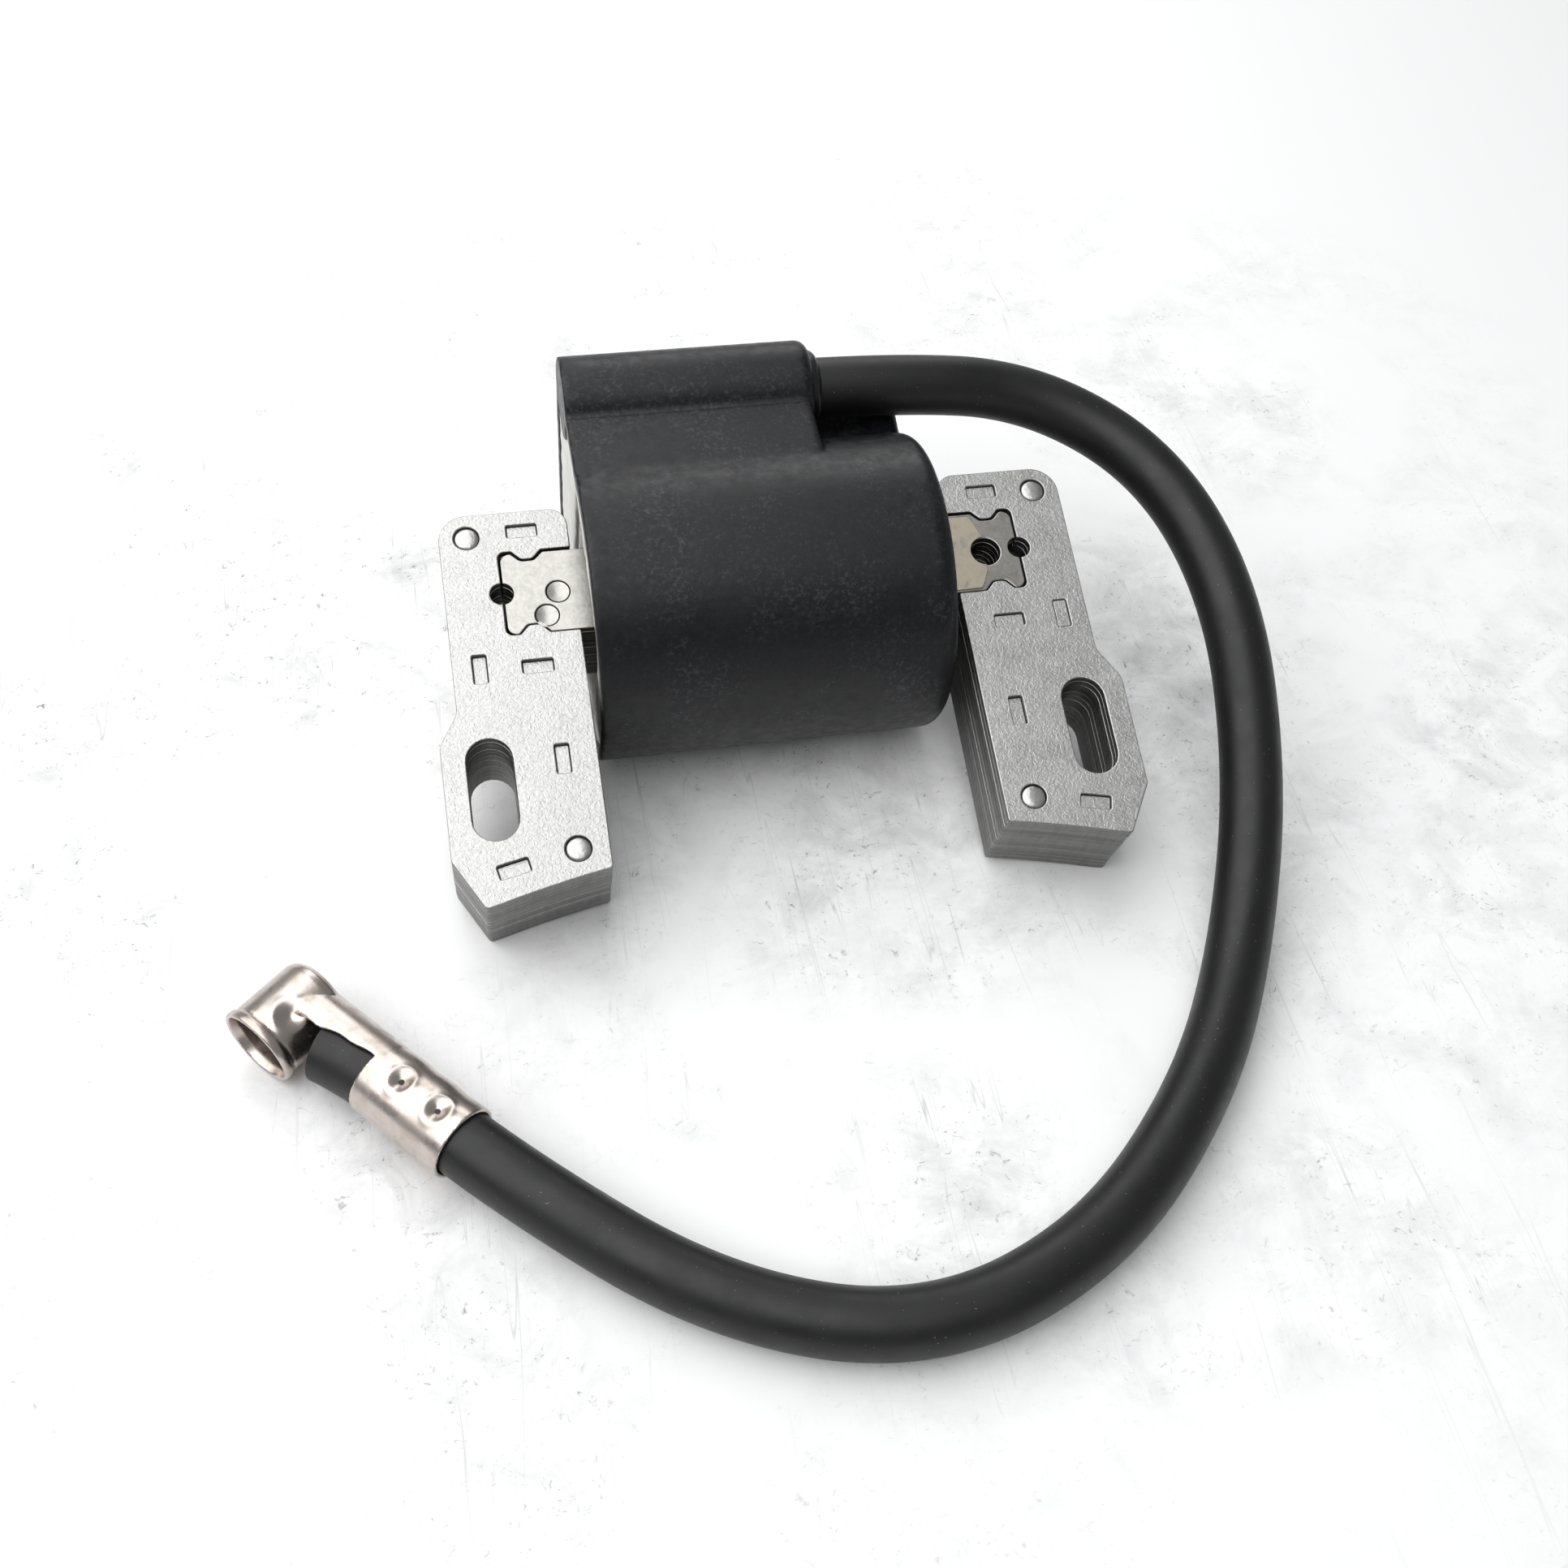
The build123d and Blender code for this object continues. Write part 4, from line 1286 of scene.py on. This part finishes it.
class Leg:
    """One of the core's two legs."""

    def __init__(self, side: int) -> None:
        """Describe the leg.

        Args:
            side: 1 for the right leg, -1 for the left one.
        """
        self.side = side
        self.word = "right" if side > 0 else "left"

    def outline(self) -> list[Point]:
        """Outline of a sheet, anticlockwise from the pole face's inner corner."""
        centre_y = LEG.toe_inner_y - math.sqrt(LEG.pole_radius ** 2 - LEG.inner ** 2)
        from_angle = math.degrees(math.atan2(LEG.toe_inner_y - centre_y, LEG.inner))
        to_angle = math.degrees(math.atan2(LEG.toe_outer[1] - centre_y, LEG.toe_outer[0]))
        pole = arc((0.0, centre_y), LEG.pole_radius, from_angle, to_angle, 8)
        half = JOINT.pocket_half
        hole = arc((JOINT.pocket_end, 0.0), JOINT.hole, 90, -90, 16)
        upper = [
            Corner(LEG.inner, half, JOINT.mouth_round),
            *self.nose(half, JOINT.nose_reach),
            Corner(JOINT.pocket_end, half, JOINT.pocket_round),
        ]
        lower = [Corner(corner.x, -corner.y, corner.radius) for corner in reversed(upper)]
        return rounded([
            Corner(LEG.inner, LEG.toe_inner_y, LEG.toe_round[1]),
            *pole[1:-1],
            Corner(*LEG.toe_outer, LEG.toe_round[0]),
            Corner(LEG.pad_outer, LEG.pad_end, LEG.pad_round),
            Corner(LEG.pad_outer, LEG.pad_full, LEG.pad_shoulder),
            Corner(LEG.outer, LEG.pad_start, LEG.pad_shoulder),
            Corner(LEG.outer, LEG.top, LEG.top_round[0]),
            Corner(LEG.inner, LEG.top, LEG.top_round[1]),
            *upper,
            *hole,
            *lower,
        ])

    @staticmethod
    def nose(side: float, reach: float, slack: float = 0.0) -> list[Corner]:
        """The round nose of a joint.

        Args:
            side: Y of the edge that it stands on.
            reach: Y of its tip.
            slack: How much wider it is than the leg's own nose.

        Returns:
            Its corners, from its inner to its outer root.
        """
        half = JOINT.nose_half + slack
        foot = half + JOINT.nose_foot
        return [
            Corner(JOINT.nose_x - foot, side, JOINT.root_round),
            Corner(JOINT.nose_x - half, reach, JOINT.nose_round + slack),
            Corner(JOINT.nose_x + half, reach, JOINT.nose_round + slack),
            Corner(JOINT.nose_x + foot, side, JOINT.root_round),
        ]

    def build(self) -> None:
        """Build the leg's stack, with the holes for its rivets."""
        stack = LaminatedStack(self.outline(), LEG.seed + self.side, self.side)
        # a hair less than half the width, so that the ends' arcs keep apart
        slot_round = LEG.slot_width / 2 - LEG.slot_hair
        slot = box_outline(LEG.slot_centre, (LEG.slot_width, LEG.slot_length), slot_round)
        rivet_holes = [circle(place, LEG.rivet + LEG.rivet_gap) for place in LEG.rivets]
        size = tuple(length - STACK.interlock_gap for length in STACK.interlock)
        holes = []
        pressed = []
        for x, y, turn, right_depth, left_depth in LEG.interlocks:
            holes.append(box_outline((x, y), STACK.interlock, STACK.interlock_round, turn))
            depth = right_depth if self.side > 0 else left_depth
            pressed.append(stack.island(box_outline((x, y), size, STACK.pressed_round, turn), depth))
        mesh = joined([*stack.sheets([slot, *rivet_holes], holes), *pressed])
        smooth(mesh, 40)
        node = f"{self.word}_leg_laminations"
        piece(f"{self.word}_leg_stack", mesh, Finishes.LEG_SHEET, "lamination_steel", [node])


class Rivets:
    """The rivets that hold each leg's sheets, peened into shallow countersinks."""

    def build(self) -> None:
        """Build all rivets as one piece."""
        radius = LEG.rivet + LEG.rivet_fit
        low = -STACK.top + LEG.rivet_low
        high = STACK.top - LEG.rivet_sink
        # a chamfered foot, a straight shank and a low dome
        profile = [
            (0.0, low), (radius - 0.3, low), (radius, low + 0.3), (radius, high - 0.1),
            (radius - 0.05, high), (radius - 0.2, high + 0.14), (radius - 0.45, high + 0.22),
            (0.5, high + 0.28), (0.0, high + 0.3),
        ]
        mesh = joined(
            lathe(profile, COIL @ Matrix.Translation((side * x, y, 0.0)))
            for side in (-1, 1)
            for x, y in LEG.rivets
        )
        smooth(mesh, 50)
        piece("peened_rivets", mesh, Finishes.RIVET, "rivet_steel", ["leg_rivets"])


class CoreBar:
    """The bar through the coil, whose heads lock into the legs."""

    def outline(self) -> list[Point]:
        """Outline of a sheet, anticlockwise."""
        low, high, end = JOINT.bar_low, JOINT.bar_high, JOINT.bar_end
        notch_low = Leg.nose(low, JOINT.notch_low, JOINT.slack)
        notch_high = list(reversed(Leg.nose(high, JOINT.notch_high, JOINT.slack)))
        edge_angle = math.degrees(math.acos((end - JOINT.pocket_end) / JOINT.hole))
        right_hole = arc((JOINT.pocket_end, 0.0), JOINT.hole, 360 - edge_angle, edge_angle, 16)
        right = [
            *notch_low,
            Corner(end, low, JOINT.bar_round),
            *right_hole,
            Corner(end, high, JOINT.bar_round),
            *notch_high,
        ]
        left = [Corner(-corner.x, corner.y, corner.radius) for corner in reversed(right)]
        return rounded([*left, *right])

    def build(self) -> None:
        """Build the bar, its buttons and the earth strap."""
        stack = LaminatedStack(self.outline(), JOINT.bar_seed)
        tool_hole = circle(JOINT.tool_hole, JOINT.tool_hole_radius)
        holes = [circle(place, STACK.button) for place in JOINT.buttons]
        sheets = stack.sheets([tool_hole], holes)
        mesh = joined([*sheets, *[self.button(x, y) for x, y in JOINT.buttons]])
        smooth(mesh, 40)
        piece(
            "core_bar_stack",
            mesh,
            Finishes.BAR_SHEET,
            "bright_lamination_steel",
            ["core_bar_laminations"],
        )
        self.strap()

    def button(self, x: float, y: float) -> bpy.types.Mesh:
        """One round interlock, pressed down to a shallow dish.

        Args:
            x: Its place along the bar.
            y: Its place across the bar.

        Returns:
            Its mesh.
        """
        radius = STACK.button - STACK.button_gap
        top = STACK.top - STACK.button_drop
        # a straight wall, a rounded lip and a shallow dish
        profile = [
            (radius, top - 1.6), (radius, top - 0.1), (radius - 0.08, top), (radius - 0.3, top - 0.04),
            (0.4, top - 0.16), (0.0, top - 0.18),
        ]
        return lathe(profile, COIL @ Matrix.Translation((x, y, 0.0)))

    def strap(self) -> None:
        """The earth strap on the right head, cut off across the tool hole."""
        low, high = JOINT.strap_low, JOINT.strap_high
        x, y = JOINT.tool_hole
        radius = JOINT.tool_hole_radius + JOINT.strap_clear
        reach = math.sqrt(radius ** 2 - (x - JOINT.strap_end) ** 2)
        angle = math.degrees(math.atan2(reach, JOINT.strap_end - x))
        hole = arc((x, y), radius, -angle, -360 + angle, 18)
        # its end is snipped at both corners and bitten by the hole
        outline = rounded([
            Corner(JOINT.strap_start, low),
            Corner(JOINT.strap_end - 1.1, low, 0.25),
            Corner(JOINT.strap_end - 0.7, low + 0.7, 0.3),
            Corner(JOINT.strap_end - 0.05, low + 2.2, 0.4),
            *hole,
            Corner(JOINT.strap_end + 0.1, high - 2.6, 0.3),
            Corner(JOINT.strap_end - 0.6, high - 0.9, 0.3),
            Corner(JOINT.strap_end - 1.0, high, 0.25),
            Corner(JOINT.strap_start, high),
        ])
        mesh = plate([outline], STACK.top + JOINT.strap, JOINT.strap, JOINT.strap_edge, COIL)
        smooth(mesh, 40)
        piece("earth_strap_plate", mesh, Finishes.STRAP, "tinned_steel", ["earth_strap"])


# ---- coil housing ----------------------------------------------------------------------------
class CoilHousing:
    """The black moulding, its potted end and the seal round the lead."""

    def build(self) -> None:
        """Build the housing and what shows at its ends."""
        self.moulding()
        self.potting()
        self.seal()

    def moulding(self) -> None:
        """The moulding with softened edges, from the CAD solid."""
        mesh = remeshed(cad_copy("coil_housing"), HOUSING.voxel, 4)
        self.blend(mesh)
        smooth(mesh, 60)
        piece("housing_moulding", mesh, Finishes.HOUSING, "housing_plastic", ["coil_housing"])

    def blend(self, mesh: bpy.types.Mesh) -> None:
        """Run the flat of the web softly into the barrel.

        Args:
            mesh: The moulding's mesh, which is changed.
        """
        inverse = COIL.inverted()
        shape = bmesh.new()
        shape.from_mesh(mesh)
        crease = Vector(HOUSING.web_crease)
        near = []
        for vertex in shape.verts:
            x, y, z = inverse @ vertex.co
            inside = HOUSING.left + HOUSING.blend_from < x < HOUSING.web_end
            if inside and (Vector((y, z)) - crease).length < HOUSING.web_blend:
                near.append(vertex)
        for _ in range(HOUSING.blend_steps):
            bmesh.ops.smooth_vert(
                shape, verts=near, factor=0.5, use_axis_x=True, use_axis_y=True, use_axis_z=True)
        shape.to_mesh(mesh)
        shape.free()

    def potting(self) -> None:
        """The poured resin, with an uneven skin."""
        mesh = remeshed(cad_copy("end_potting"), HOUSING.voxel, 4)
        low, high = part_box("end_potting")
        # only the open face moves, not the sides that the moulding holds
        skin = low.x + HOUSING.pour_share * (high.x - low.x)
        for vertex in mesh.vertices:
            if vertex.co.x < skin:
                coarse = noise.noise(vertex.co / (HOUSING.pour_coarse * MM))
                fine = noise.noise(vertex.co / (HOUSING.pour_fine * MM))
                vertex.co.x += HOUSING.pour_depth * MM * (coarse + 0.4 * fine)
        smooth(mesh, 60)
        # the resin's pale colour is a painted reflection of grazing light
        piece("poured_potting", mesh, Finishes.RESIN_WITH_PAINTED_REFLECTION, "potting_resin", ["end_potting"])

    def seal(self) -> None:
        """The soft ring squeezed out round the lead."""
        place = (
            COIL
            @ Matrix.Translation((HOUSING.tower_end, *HOUSING.tower))
            @ Matrix.Rotation(math.pi / 2, 4, "Y")
        )
        inner, outer = LEAD.radius - HOUSING.seal_inset, HOUSING.seal_outer
        profile = [
            (inner, -0.4), (outer, -0.4), (outer, 0.25), (outer - 0.2, 0.62), (outer - 0.5, 0.88),
            (inner, 1.05),
        ]
        mesh = lathe(profile, place, 64)
        for vertex in mesh.vertices:
            lump = noise.noise(vertex.co / (HOUSING.seal_lump * MM))
            vertex.co += vertex.normal * HOUSING.seal_depth * MM * lump
        smooth(mesh, 60)
        piece("squeezed_seal", mesh, Finishes.SEAL, "lead_rubber", ["lead_seal"])


# ---- lead and clip ---------------------------------------------------------------------------
class Lead:
    """The high-tension lead: a rubber jacket over a stranded conductor."""

    def __init__(self) -> None:
        """Build the jacket and the strands at its cut end."""
        self.jacket = self.tube()
        self.strands = self.cut_end()

    def tube(self) -> bpy.types.Object:
        """The jacket, on one smooth line through the route."""
        curve = bpy.data.curves.new("lead_jacket", "CURVE")
        curve.dimensions = "3D"
        spline = curve.splines.new("NURBS")
        spline.points.add(len(LEAD.route) - 1)
        for point, place in zip(spline.points, LEAD.route):
            point.co = (*[value * MM for value in place], 1.0)
        spline.order_u = 3
        spline.use_endpoint_u = True
        spline.resolution_u = 24
        curve.bevel_depth = LEAD.radius * MM
        curve.bevel_resolution = 12
        curve.use_fill_caps = True
        return piece("lead_jacket", curve, Finishes.LEAD, "lead_rubber", ["lead_insulation"])

    def cut_end(self) -> bpy.types.Object:
        """The strands of the conductor, standing a little proud of the cut."""
        end = Vector(LEAD.route[-1])
        along = (end - Vector(LEAD.route[-2])).normalized()
        turn = along.to_track_quat("Z", "Y").to_matrix().to_4x4()
        face = TO_METRES @ Matrix.Translation(end) @ turn
        generator = random.Random(LEAD.seed)
        meshes = []
        for ring, count in enumerate((1, 6, 12)):
            for number in range(count):
                angle = math.radians(360 * number / count)
                x = LEAD.strand_ring * ring * math.cos(angle)
                y = LEAD.strand_ring * ring * math.sin(angle)
                top = generator.uniform(*LEAD.strand_ends)
                wire = LEAD.strand
                profile = [(wire, -1.0), (wire, top - 0.05), (0.7 * wire, top), (0.0, top)]
                meshes.append(lathe(profile, face @ Matrix.Translation((x, y, 0.0)), 12))
        mesh = joined(meshes)
        smooth(mesh, 50)
        return piece("lead_strands", mesh, Finishes.STRANDS, "enamelled_copper", ["lead_conductor"])


class SparkPlugClip:
    """The pressed sheet-metal clip: crimp, neck and cup in one piece."""

    def __init__(self) -> None:
        """Set up the clip's own frame on the lead's last run but one."""
        start = Vector(LEAD.route[-3])
        along = (Vector(LEAD.route[-2]) - start).normalized()
        mouth = Vector((-along.y, along.x, 0.0))
        self.place = TO_METRES @ Matrix.Translation(start + along * CLIP.offset) @ Matrix((
            (along.x, mouth.x, 0.0, 0.0),
            (along.y, mouth.y, 0.0, 0.0),
            (0.0, 0.0, 1.0, 0.0),
            (0.0, 0.0, 0.0, 1.0),
        ))
        # the cup's axis, from its back to its mouth, looks down a little
        self.cup_place = (
            self.place
            @ Matrix.Translation((CLIP.cup_along, 0.0, 0.0))
            @ Matrix.Rotation(-math.radians(90 + CLIP.cup_drop), 4, "X")
        )

    def build(self) -> bpy.types.Object:
        """Build the clip as one piece of sheet metal."""
        thickness = {"thickness": CLIP.sheet * MM, "offset": 0.0}
        thick = [modified(sheet, ("SOLIDIFY", thickness)) for sheet in (self.crimp(), self.neck())]
        mesh = remeshed(joined([*thick, self.cup()]), CLIP.voxel, 6)
        self.press_dimples(mesh)
        smooth(mesh, 60)
        return piece("pressed_clip", mesh, Finishes.TIN, "tinned_steel", ["spark_plug_clip"])

    def grid(
        self,
        columns: int,
        rows: int,
        surface: Callable[[float, float], Vector],
    ) -> bpy.types.Mesh:
        """Sheet over a rectangle of parameters from 0 to 1.

        Args:
            columns: Number of faces along the first parameter.
            rows: Number of faces along the second one.
            surface: Gives a place in the clip's frame for two parameters.

        Returns:
            The sheet's mesh, without thickness.
        """
        shape = bmesh.new()
        lines = [
            [shape.verts.new(surface(i / columns, j / rows)) for i in range(columns + 1)]
            for j in range(rows + 1)
        ]
        for low, high in zip(lines, lines[1:]):
            for i in range(columns):
                shape.faces.new((low[i], low[i + 1], high[i + 1], high[i]))
        bmesh.ops.recalc_face_normals(shape, faces=shape.faces)
        return finished(shape, self.place)

    def crimp(self) -> bpy.types.Mesh:
        """The barrel folded round the lead, with its seam on the lower near side."""
        gap = math.degrees(CLIP.seam_gap / CLIP.crimp)

        def surface(u: float, v: float) -> Vector:
            """Place on the barrel, u round it and v along it."""
            angle = math.radians(CLIP.seam_at + gap / 2 + (360 - gap) * u)
            along = CLIP.crimp_length * v
            # the die leaves the far side slightly rippled
            ripple = math.sin(along * 1.5 + 0.6) * max(0.0, -math.cos(angle))
            radius = CLIP.crimp + CLIP.ripple * ripple
            return Vector((along, radius * math.cos(angle), radius * math.sin(angle)))

        return self.grid(96, 40, surface)

    def neck(self) -> bpy.types.Mesh:
        """The strip that runs on along the far side and turns into the cup's back."""
        start = CLIP.crimp_length - CLIP.neck_overlap
        wall = CLIP.cup - CLIP.sheet / 2

        def surface(u: float, v: float) -> Vector:
            """Place on the strip, u across it and v along it."""
            # the near edge swings back from the crimp, with a slight wave
            trimmed = min(1.0, max(0.0, (8.2 * v - 0.8) / 7.0))
            eased = trimmed * trimmed * (3 - 2 * trimmed)
            near_edge = 90 - CLIP.neck_trim * eased + CLIP.neck_wave * math.sin(16.0 * v)
            angle = math.radians(near_edge + (CLIP.neck_far_edge - near_edge) * u)
            across = CLIP.crimp * math.cos(angle)
            height = CLIP.crimp * math.sin(angle)
            # the strip ends on the cup's wall, and runs on behind its back
            behind = min(1.0, max(0.0, CLIP.cup_back + CLIP.neck_hook - across))
            reach = math.sqrt(max(0.0, wall ** 2 - height ** 2)) * (1 - behind)
            end = CLIP.cup_along - reach
            return Vector((start + (end - start) * v, across, height))

        return self.grid(48, 70, surface)

    def cup(self) -> bpy.types.Mesh:
        """The drawn cup with its rolled bead."""
        outer, inner = CLIP.cup, CLIP.cup - CLIP.sheet
        back, mouth = CLIP.cup_back, CLIP.cup_mouth
        bead = CLIP.bead
        start = mouth - CLIP.bead_length
        # from the middle of the back outside, round the bead, to the middle of the back inside
        profile = [
            (0.0, back), (outer - 1.5, back), (outer - 0.8, back + 0.18), (outer - 0.22, back + 0.7),
            (outer, back + 1.4), (outer, start - 0.3), (outer - 0.1, start), (bead - 0.05, start + 0.3),
            (bead, start + 0.55), (bead, mouth - 0.3), (bead - 0.1, mouth), (bead - CLIP.sheet, mouth),
            (inner, start + 0.3), (inner, back + 1.4), (inner - 0.4, back + CLIP.sheet + 0.3),
            (inner - 1.1, back + CLIP.sheet), (0.0, back + CLIP.sheet),
        ]
        return lathe(profile, self.cup_place, 96)

    def press_dimples(self, mesh: bpy.types.Mesh) -> None:
        """Press the crimp's two dents and the detent in the cup's wall.

        Args:
            mesh: The clip's mesh, which is changed.
        """
        inverse = self.place.inverted()
        cup_inverse = self.cup_place.inverted()
        turn, cup_turn = self.place.to_3x3(), self.cup_place.to_3x3()
        for vertex in mesh.vertices:
            along, across, height = inverse @ vertex.co
            if along < CLIP.crimp_length:
                angle = math.degrees(math.atan2(height, across))
                for place, centre in CLIP.dents:
                    arc_length = math.radians((angle - centre + 180) % 360 - 180) * CLIP.crimp
                    distance = math.hypot(along - place, arc_length * 0.9) / CLIP.dent_radius
                    radial = (turn @ Vector((0.0, across, height))).normalized()
                    vertex.co -= radial * self.dent(distance, CLIP.dent_depth) * MM
                continue
            x, y, z = cup_inverse @ vertex.co
            if math.hypot(x, y) > CLIP.cup - CLIP.wall_depth:
                level, facing = CLIP.detent
                offset = (math.atan2(y, x) - math.radians(facing) + math.pi) % (2 * math.pi) - math.pi
                distance = math.hypot(offset * CLIP.cup, z - level) / CLIP.detent_radius
                radial = (cup_turn @ Vector((x, y, 0.0))).normalized()
                vertex.co -= radial * self.dent(distance, CLIP.detent_depth) * MM

    @staticmethod
    def dent(distance: float, depth: float) -> float:
        """Depth of a pressed dent, with the slight swell round it.

        Args:
            distance: Distance from its middle, in dent radii.
            depth: Depth in its middle.

        Returns:
            How far the sheet is pushed in there.
        """
        if distance > CLIP.dent_reach:
            return 0.0
        hollow = math.exp(-2.0 * distance ** 2)
        swell = math.exp(-9.0 * (distance - 1.3) ** 2)
        return depth * hollow - CLIP.swell * swell


# ---- pieces that keep their CAD shape --------------------------------------------------------
KEPT_NODES: dict[str, Finishes] = {
    "primary_bobbin": Finishes.BOBBIN,
    "core_wedge": Finishes.WEDGE,
    "primary_winding": Finishes.COPPER,
    "trigger_winding": Finishes.FINE_COPPER,
    "winding_sleeve": Finishes.FILM,
    "secondary_bobbin": Finishes.BOBBIN,
    "secondary_winding": Finishes.FINE_COPPER,
    "trigger_board": Finishes.BOARD,
    "power_transistor": Finishes.PACKAGE,
    "board_resistors": Finishes.LACQUER,
    "board_diode": Finishes.PACKAGE,
    "module_wires": Finishes.COPPER,
    "contact_pin": Finishes.BRASS,
    "secondary_output_wire": Finishes.COPPER,
    "stop_switch_tab": Finishes.TIN,
}


# ---- studio ----------------------------------------------------------------------------------
@dataclass(frozen=True)
class CameraSizes:
    """Where the camera stands and how it looks, in millimetres."""

    place: tuple[float, float, float] = (-34.7, -147.1, 166.4)
    forward: tuple[float, float, float] = (0.1646, 0.6187, -0.7682)
    up: tuple[float, float, float] = (0.1086, 0.7627, 0.6375)
    lens: float = 41.74
    sensor: float = 36.0
    nearest: float = 5.0


@dataclass(frozen=True)
class SoftBox:
    """A square area light, in millimetres and watts."""

    name: str
    place: tuple[float, float, float]
    size: float
    power: float
    target: tuple[float, float, float]


class Studio:
    """Camera, lights, backdrop and floor."""

    lights = (
        # a wide overhead box to the left, aimed straight down, for soft shadows to the right
        SoftBox("key_softbox", (-540.0, 40.0, 620.0), 1250.0, 10.6, (-540.0, 40.0, 0.0)),
        # a weak one behind, for the highlights on the housing's upper edges
        SoftBox("back_softbox", (160.0, 700.0, 420.0), 420.0, 1.1, (0.0, -20.0, 10.0)),
    )
    room_colour = "#f4f6f8"
    room_strength = 0.3
    floor_half = 1600.0
    floor_drop = 0.02

    def camera(self) -> None:
        """Set the camera up."""
        sizes = CameraSizes()
        data = bpy.data.cameras.new("camera")
        data.lens = sizes.lens
        data.sensor_width = sizes.sensor
        data.clip_start = sizes.nearest * MM
        forward, up = Vector(sizes.forward).normalized(), Vector(sizes.up).normalized()
        right = forward.cross(up).normalized()
        up = right.cross(forward)
        turn = Matrix((right, up, -forward)).transposed().to_4x4()
        thing = shown("camera", data)
        thing.matrix_world = Matrix.Translation(Vector(sizes.place) * MM) @ turn
        bpy.context.scene.camera = thing

    def build(self) -> None:
        """Set up the lights, the room's own light and the floor."""
        for box in self.lights:
            self.light(box)
        self.room()
        self.floor()

    def room(self) -> None:
        """Light the shadows evenly, as white walls do, and keep whites plain."""
        world = bpy.data.worlds.new("white_room")
        world.use_nodes = True
        background = world.node_tree.nodes["Background"]
        background.inputs["Color"].default_value = srgb(self.room_colour)
        background.inputs["Strength"].default_value = self.room_strength
        bpy.context.scene.world = world
        bpy.context.scene.view_settings.view_transform = "Standard"

    def floor(self) -> None:
        """Lay the board that the coil stands on, a hair below it."""
        shape = bmesh.new()
        bmesh.ops.create_grid(shape, x_segments=2, y_segments=2, size=self.floor_half * MM)
        mesh = finished(shape, Matrix.Translation((0.0, 0.0, -self.floor_drop * MM)))
        mesh.materials.append(StudioFloor("painted_board_white", "#f7f7f7").build())
        shown("studio_floor", mesh)

    def light(self, box: SoftBox) -> None:
        """Hang one softbox and aim it.

        Args:
            box: The softbox.
        """
        data = bpy.data.lights.new(box.name, "AREA")
        data.size = box.size * MM
        data.energy = box.power
        place = Vector(box.place) * MM
        aim = (Vector(box.target) * MM - place).to_track_quat("-Z", "Y")
        thing = shown(box.name, data)
        thing.matrix_world = Matrix.Translation(place) @ aim.to_matrix().to_4x4()


def main() -> None:
    """Build and dress the whole part and its studio, and note the sizes."""
    logging.basicConfig(level=logging.INFO, format="%(message)s")
    studio = Studio()
    studio.camera()
    lead = Lead()
    clip = SparkPlugClip().build()
    for side in (-1, 1):
        Leg(side).build()
    Rivets().build()
    CoreBar().build()
    CoilHousing().build()
    for node, finish in KEPT_NODES.items():
        WARDROBE.dress(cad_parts[node], finish)
        LOG.info("%s keeps its shape, in %s", node, finish.value.name)
    studio.build()


if __name__ == "__main__":
    main()
